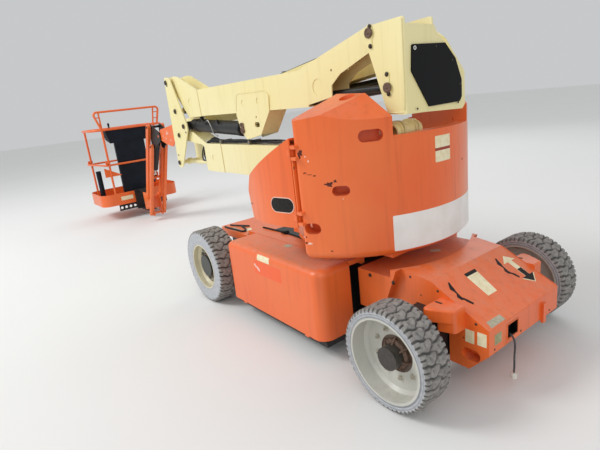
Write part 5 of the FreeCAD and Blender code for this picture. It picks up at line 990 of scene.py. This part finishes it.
# ---- hoses that lie on the lower boom, wandering by up to sway, their clamps, and the loops at the boom's end
lowerHoseLook = {"places": (-0.198, -0.176, -0.155, -0.128, -0.108), "from": -0.60, "to": 1.05, "points": 12,
                 "sway": 0.012, "rest": 1.2525, "step": 0.009, "radius": 0.0055, "radiusStep": 0.002,
                 "clamps": (-0.40, 0.1, 0.6)}
rng = np.random.default_rng(4)
lines = []
for k, y in enumerate(lowerHoseLook["places"]):
    odd, sway = k % 2, lowerHoseLook["sway"]
    path = [at(x, y + rng.uniform(-sway, sway), lowerHoseLook["rest"] + lowerHoseLook["step"] * odd
               + rng.uniform(0, sway))
            for x in np.linspace(lowerHoseLook["from"], lowerHoseLook["to"], lowerHoseLook["points"])]
    lines.append(tube(path, lowerHoseLook["radius"] + lowerHoseLook["radiusStep"] * odd, 10, 6))
makePiece("lowerBoomHoses", lines, hoseRubber, "lower_boom", "dark_plastic")
makePiece("hoseClamps", [boxPart(at(x - 0.012, -0.215, 1.2425), at(x + 0.012, -0.09, 1.278), 0.003)
                         for x in lowerHoseLook["clamps"]], zincSteel, "lower_boom", "chrome_rod")
# x, step in y, z and how much lower each further loop lies there
loopRows = ((-0.60, 0, 1.262, 0), (-0.70, -0.004, 1.285, 0.008), (-0.80, 0, 1.265, 0.016), (-0.86, 0.006, 1.20, 0.018),
            (-0.84, 0, 1.125, 0.012), (-0.74, 0, 1.085, 0), (-0.68, 0.003, 1.10, 0))
loops = [tube([at(x, -0.10 - 0.024 * k + dy, z - drop * k) for x, dy, z, drop in loopRows], 0.0075, 10, 8)
         for k in range(5)]
makePiece("lowerBoomLoops", loops, hoseRubber, "lower_boom", "dark_plastic")
print("stage: tower hoses made")

# ---- main boom and fly boom: pad bolts, hoses along the top, scuffs on the head
mainSlope = math.radians(7.2)
mainPin = (1.600, 1.815)
mainAxis = (-math.cos(mainSlope), 0, -math.sin(mainSlope))
mainHoseLook = {"places": (0.082, 0.103, 0.124, 0.143), "from": 0.35, "to": 2.9, "points": 12, "radius": 0.0075,
                "straps": (0.6, 1.3, 2.0, 2.7)}
# run, drop, size, stretch
flyScuffs = ((3.95, 0.0, 0.05, 1.5), (4.02, 0.06, 0.03, 1.2), (3.88, 0.10, 0.024, 2.0), (4.10, 0.02, 0.022, 1.0),
             (3.83, 0.03, 0.018, 1.0))


def onMain(run, y, drop):
    # run along the main boom from its pin, drop square to it downwards
    return at(mainPin[0] - run * math.cos(mainSlope) + drop * math.sin(mainSlope), y,
              mainPin[1] - run * math.sin(mainSlope) - drop * math.cos(mainSlope))


bolts = []
for y, side in ((0.035, -1), (0.185, 1)):
    for run in (2.93, 2.97):
        for drop in (-0.085, 0.0, 0.085):
            bolts += bolt(onMain(run, y, drop), (0, side, 0), 0.007)
for y in (0.07, 0.15):
    for run in (2.93, 2.97):
        bolts += bolt(onMain(run, y, -0.1125), (math.sin(mainSlope), 0, math.cos(mainSlope)), 0.007)
makePiece("padBolts", bolts, zincSteel, "main_boom", "chrome_rod")
hoses = []
for k, y in enumerate(mainHoseLook["places"]):
    path = [onMain(run, y + 0.004 * math.sin(run * 5 + k), -0.1205 - 0.004 * (k % 2))
            for run in np.linspace(mainHoseLook["from"], mainHoseLook["to"], mainHoseLook["points"])]
    hoses.append(tube(path, mainHoseLook["radius"], 10, 6))
makePiece("mainBoomHoses", hoses, hoseRubber, "main_boom", "dark_plastic")
margin = np.array((0.012, 0, 0.002))
makePiece("mainHoseStraps", [boxPart(onMain(run, 0.07, -0.113) - margin, onMain(run, 0.156, -0.135) + margin, 0.003)
                             for run in mainHoseLook["straps"]], zincSteel, "main_boom", "chrome_rod")
scuffs = []
for k, (run, drop, size, stretch) in enumerate(flyScuffs):
    face = planePlace(onMain(run, 0.0535, drop), mainAxis, (-math.sin(mainSlope), 0, math.cos(mainSlope)))
    scuffs.append(plate(chipOutline(size, 70 + k, 0.6, stretch), lambda a, b, w, f=face: f(a, b, -np.asarray(w)),
                        0.0006, -0.0006))
makePiece("flyHeadScuffs", scuffs, scuffPink, "fly_boom", "orange_paint")
print("stage: main boom dressed")

# ---- platform: toe board sticker, controls on the console, foot switch
onToe = planePlace(at(-4.0267, 0, 0), (0, 1, 0), (0, 0, 1))
makePiece("toeSticker", [plate(roundRect(0.19, 0.062, 0.004) + np.array([-0.126, 0.338]), onToe, 0.001)], creamVinyl,
          "platform", "white_plastic")
# deck is the console's top; shapes are height and radius
controlLook = {"deck": 1.410, "stick": (-4.130, -0.150), "stop": (-4.19, 0.24),
               "switches": ((-4.14, -0.02), (-4.14, 0.03), (-4.14, 0.08), (-4.19, -0.02), (-4.19, 0.05), (-4.14, 0.30)),
               "boot": ((0.0, 0.026), (0.008, 0.026), (0.012, 0.021), (0.018, 0.023), (0.023, 0.017), (0.029, 0.019),
                        (0.034, 0.012), (0.042, 0.009)),
               "knob": ((0.036, 0.008), (0.050, 0.013), (0.082, 0.016), (0.096, 0.013), (0.102, 0.007)),
               "base": ((0, 0.009), (0.006, 0.009), (0.008, 0.006)),
               "button": ((0, 0.010), (0.012, 0.010), (0.012, 0.019), (0.019, 0.018), (0.022, 0.012))}


def makeControls(look):
    # rubber boot under the stick's knob, switches with short levers, and a mushroom button
    deck = look["deck"]

    def stand(place, shape, count):
        return lathe(at(*place, deck), (0, 0, 1), shape, count)

    parts = [stand(look["stick"], look["boot"], 24), stand(look["stick"], look["knob"], 24)]
    parts += [stand(place, look["base"], 18) for place in look["switches"]]
    makePiece("controlStick", parts, blackPlastic, "platform", "dark_plastic")
    levers = [straightTube(at(x, y, deck + 0.006), at(x - 0.006, y, deck + 0.024), 0.0022, 10)
              for x, y in look["switches"]]
    makePiece("toggleLevers", levers, zincSteel, "platform", "chrome_rod")
    makePiece("stopButton", [stand(look["stop"], look["button"], 28)], redPlastic, "platform", "orange_paint")


makeControls(controlLook)
pedal = [boxPart(at(-4.46, -0.02, 0.252), at(-4.28, 0.13, 0.272), 0.004),
         boxPart(at(-4.44, 0.005, 0.272), at(-4.31, 0.105, 0.300), 0.006)]
guardRun = ((-4.445, 0.268), (-4.435, 0.345), (-4.37, 0.365), (-4.30, 0.350))
guard = [tube([at(x, y, z) for x, z in guardRun], 0.005, 10, 6) for y in (-0.008, 0.118)]
makePiece("footSwitch", pedal, blackPlastic, "platform", "dark_plastic")
makePiece("footSwitchGuard", guard, orangePaint, "platform", "orange_paint")
print("stage: platform dressed")

# ---- jib: hoses down between the arms; x, share of the sag, z
jibRun = ((-2.905, 0, 1.330), (-2.945, 0, 1.285), (-2.985, 1, 1.215), (-3.06, 0, 1.080), (-3.15, 0, 0.93),
          (-3.245, 1, 0.76), (-3.335, 0, 0.60))
bundle = [tube([at(x + share * 0.012 * math.sin(2.1 * k), y, z) for x, share, z in jibRun], 0.0065, 10, 8)
          for k, y in enumerate((0.085, 0.100, 0.115, 0.130))]
makePiece("jibHoses", bundle, hoseRubber, "jib_arm", "dark_plastic")
print("stage: jib hoses made")

# ---- floor, world and lamps. Lamp rows: name, place, size, watts, target
stageLook = {"reach": 40, "floor": ("e2e2e0", "e6e6e4"), "world": "f2f4f6", "worldLight": 0.74, "worldSeen": 0.64}
lamps = (("keyLamp", (-2.5, -7.5, 8.5), 4.0, 640, (0.6, 0, 0.9)),
         ("fillLamp", (8.5, -4.5, 5.0), 5.0, 90, (0.8, 0, 0.8)),
         ("backLamp", (-3.0, 8.0, 7.0), 6.0, 150, (0, 0, 1.0)))


def makeFloor(look):
    mesh = bpy.data.meshes.new("studioFloor")
    reach = look["reach"]
    mesh.from_pydata([(-reach, -reach, 0), (reach, -reach, 0), (reach, reach, 0), (-reach, reach, 0)], [],
                     [(0, 1, 2, 3)])
    floor = bpy.data.objects.new("studioFloor", mesh)
    bpy.context.scene.collection.objects.link(floor)
    material, tree, shader = startMaterial("paintedStudioFloor")
    coords = addNode(tree, "ShaderNodeTexCoord")
    mottle = addNode(tree, "ShaderNodeTexNoise", {"Scale": 0.6, "Detail": 2.0}, {"Vector": coords.outputs["Object"]})
    first, second = look["floor"]
    colour = addNode(tree, "ShaderNodeMix", {"data_type": "RGBA", mixA: linear(first), mixB: linear(second)},
                     {mixFactor: mottle.outputs[0]})
    tree.links.new(colour.outputs[mixOut], shader.inputs["Base Color"])
    shader.inputs["Roughness"].default_value = 0.85
    mesh.materials.append(material)


def makeWorld(look):
    # what camera, glossy and transmission rays see is set apart from what lights the scene
    world = bpy.data.worlds.new("studioWorld")
    bpy.context.scene.world = world
    world.use_nodes = True
    tree = world.node_tree
    tree.nodes.clear()
    path = addNode(tree, "ShaderNodeLightPath")
    seen = addNode(tree, "ShaderNodeMath", {"operation": "ADD"},
                   {0: path.outputs["Is Camera Ray"], 1: path.outputs["Is Glossy Ray"]})
    seenAll = addNode(tree, "ShaderNodeMath", {"operation": "ADD", "use_clamp": True},
                      {0: seen.outputs[0], 1: path.outputs["Is Transmission Ray"]})
    strength = addNode(tree, "ShaderNodeMapRange", {"To Min": look["worldLight"], "To Max": look["worldSeen"]},
                       {"Value": seenAll.outputs[0]})
    back = addNode(tree, "ShaderNodeBackground", {"Color": linear(look["world"])}, {"Strength": strength.outputs[0]})
    addNode(tree, "ShaderNodeOutputWorld", {}, {"Surface": back.outputs[0]})


def makeLamps(rows):
    for name, place, size, power, target in rows:
        data = bpy.data.lights.new(name, "AREA")
        data.size = size
        data.energy = power
        lamp = bpy.data.objects.new(name, data)
        bpy.context.scene.collection.objects.link(lamp)
        lamp.location = place
        lamp.rotation_euler = (Vector(target) - Vector(place)).to_track_quat("-Z", "Y").to_euler()


makeFloor(stageLook)
makeWorld(stageLook)
makeLamps(lamps)
bpy.context.scene.view_settings.view_transform = "Standard"
print("stage: lamps set")
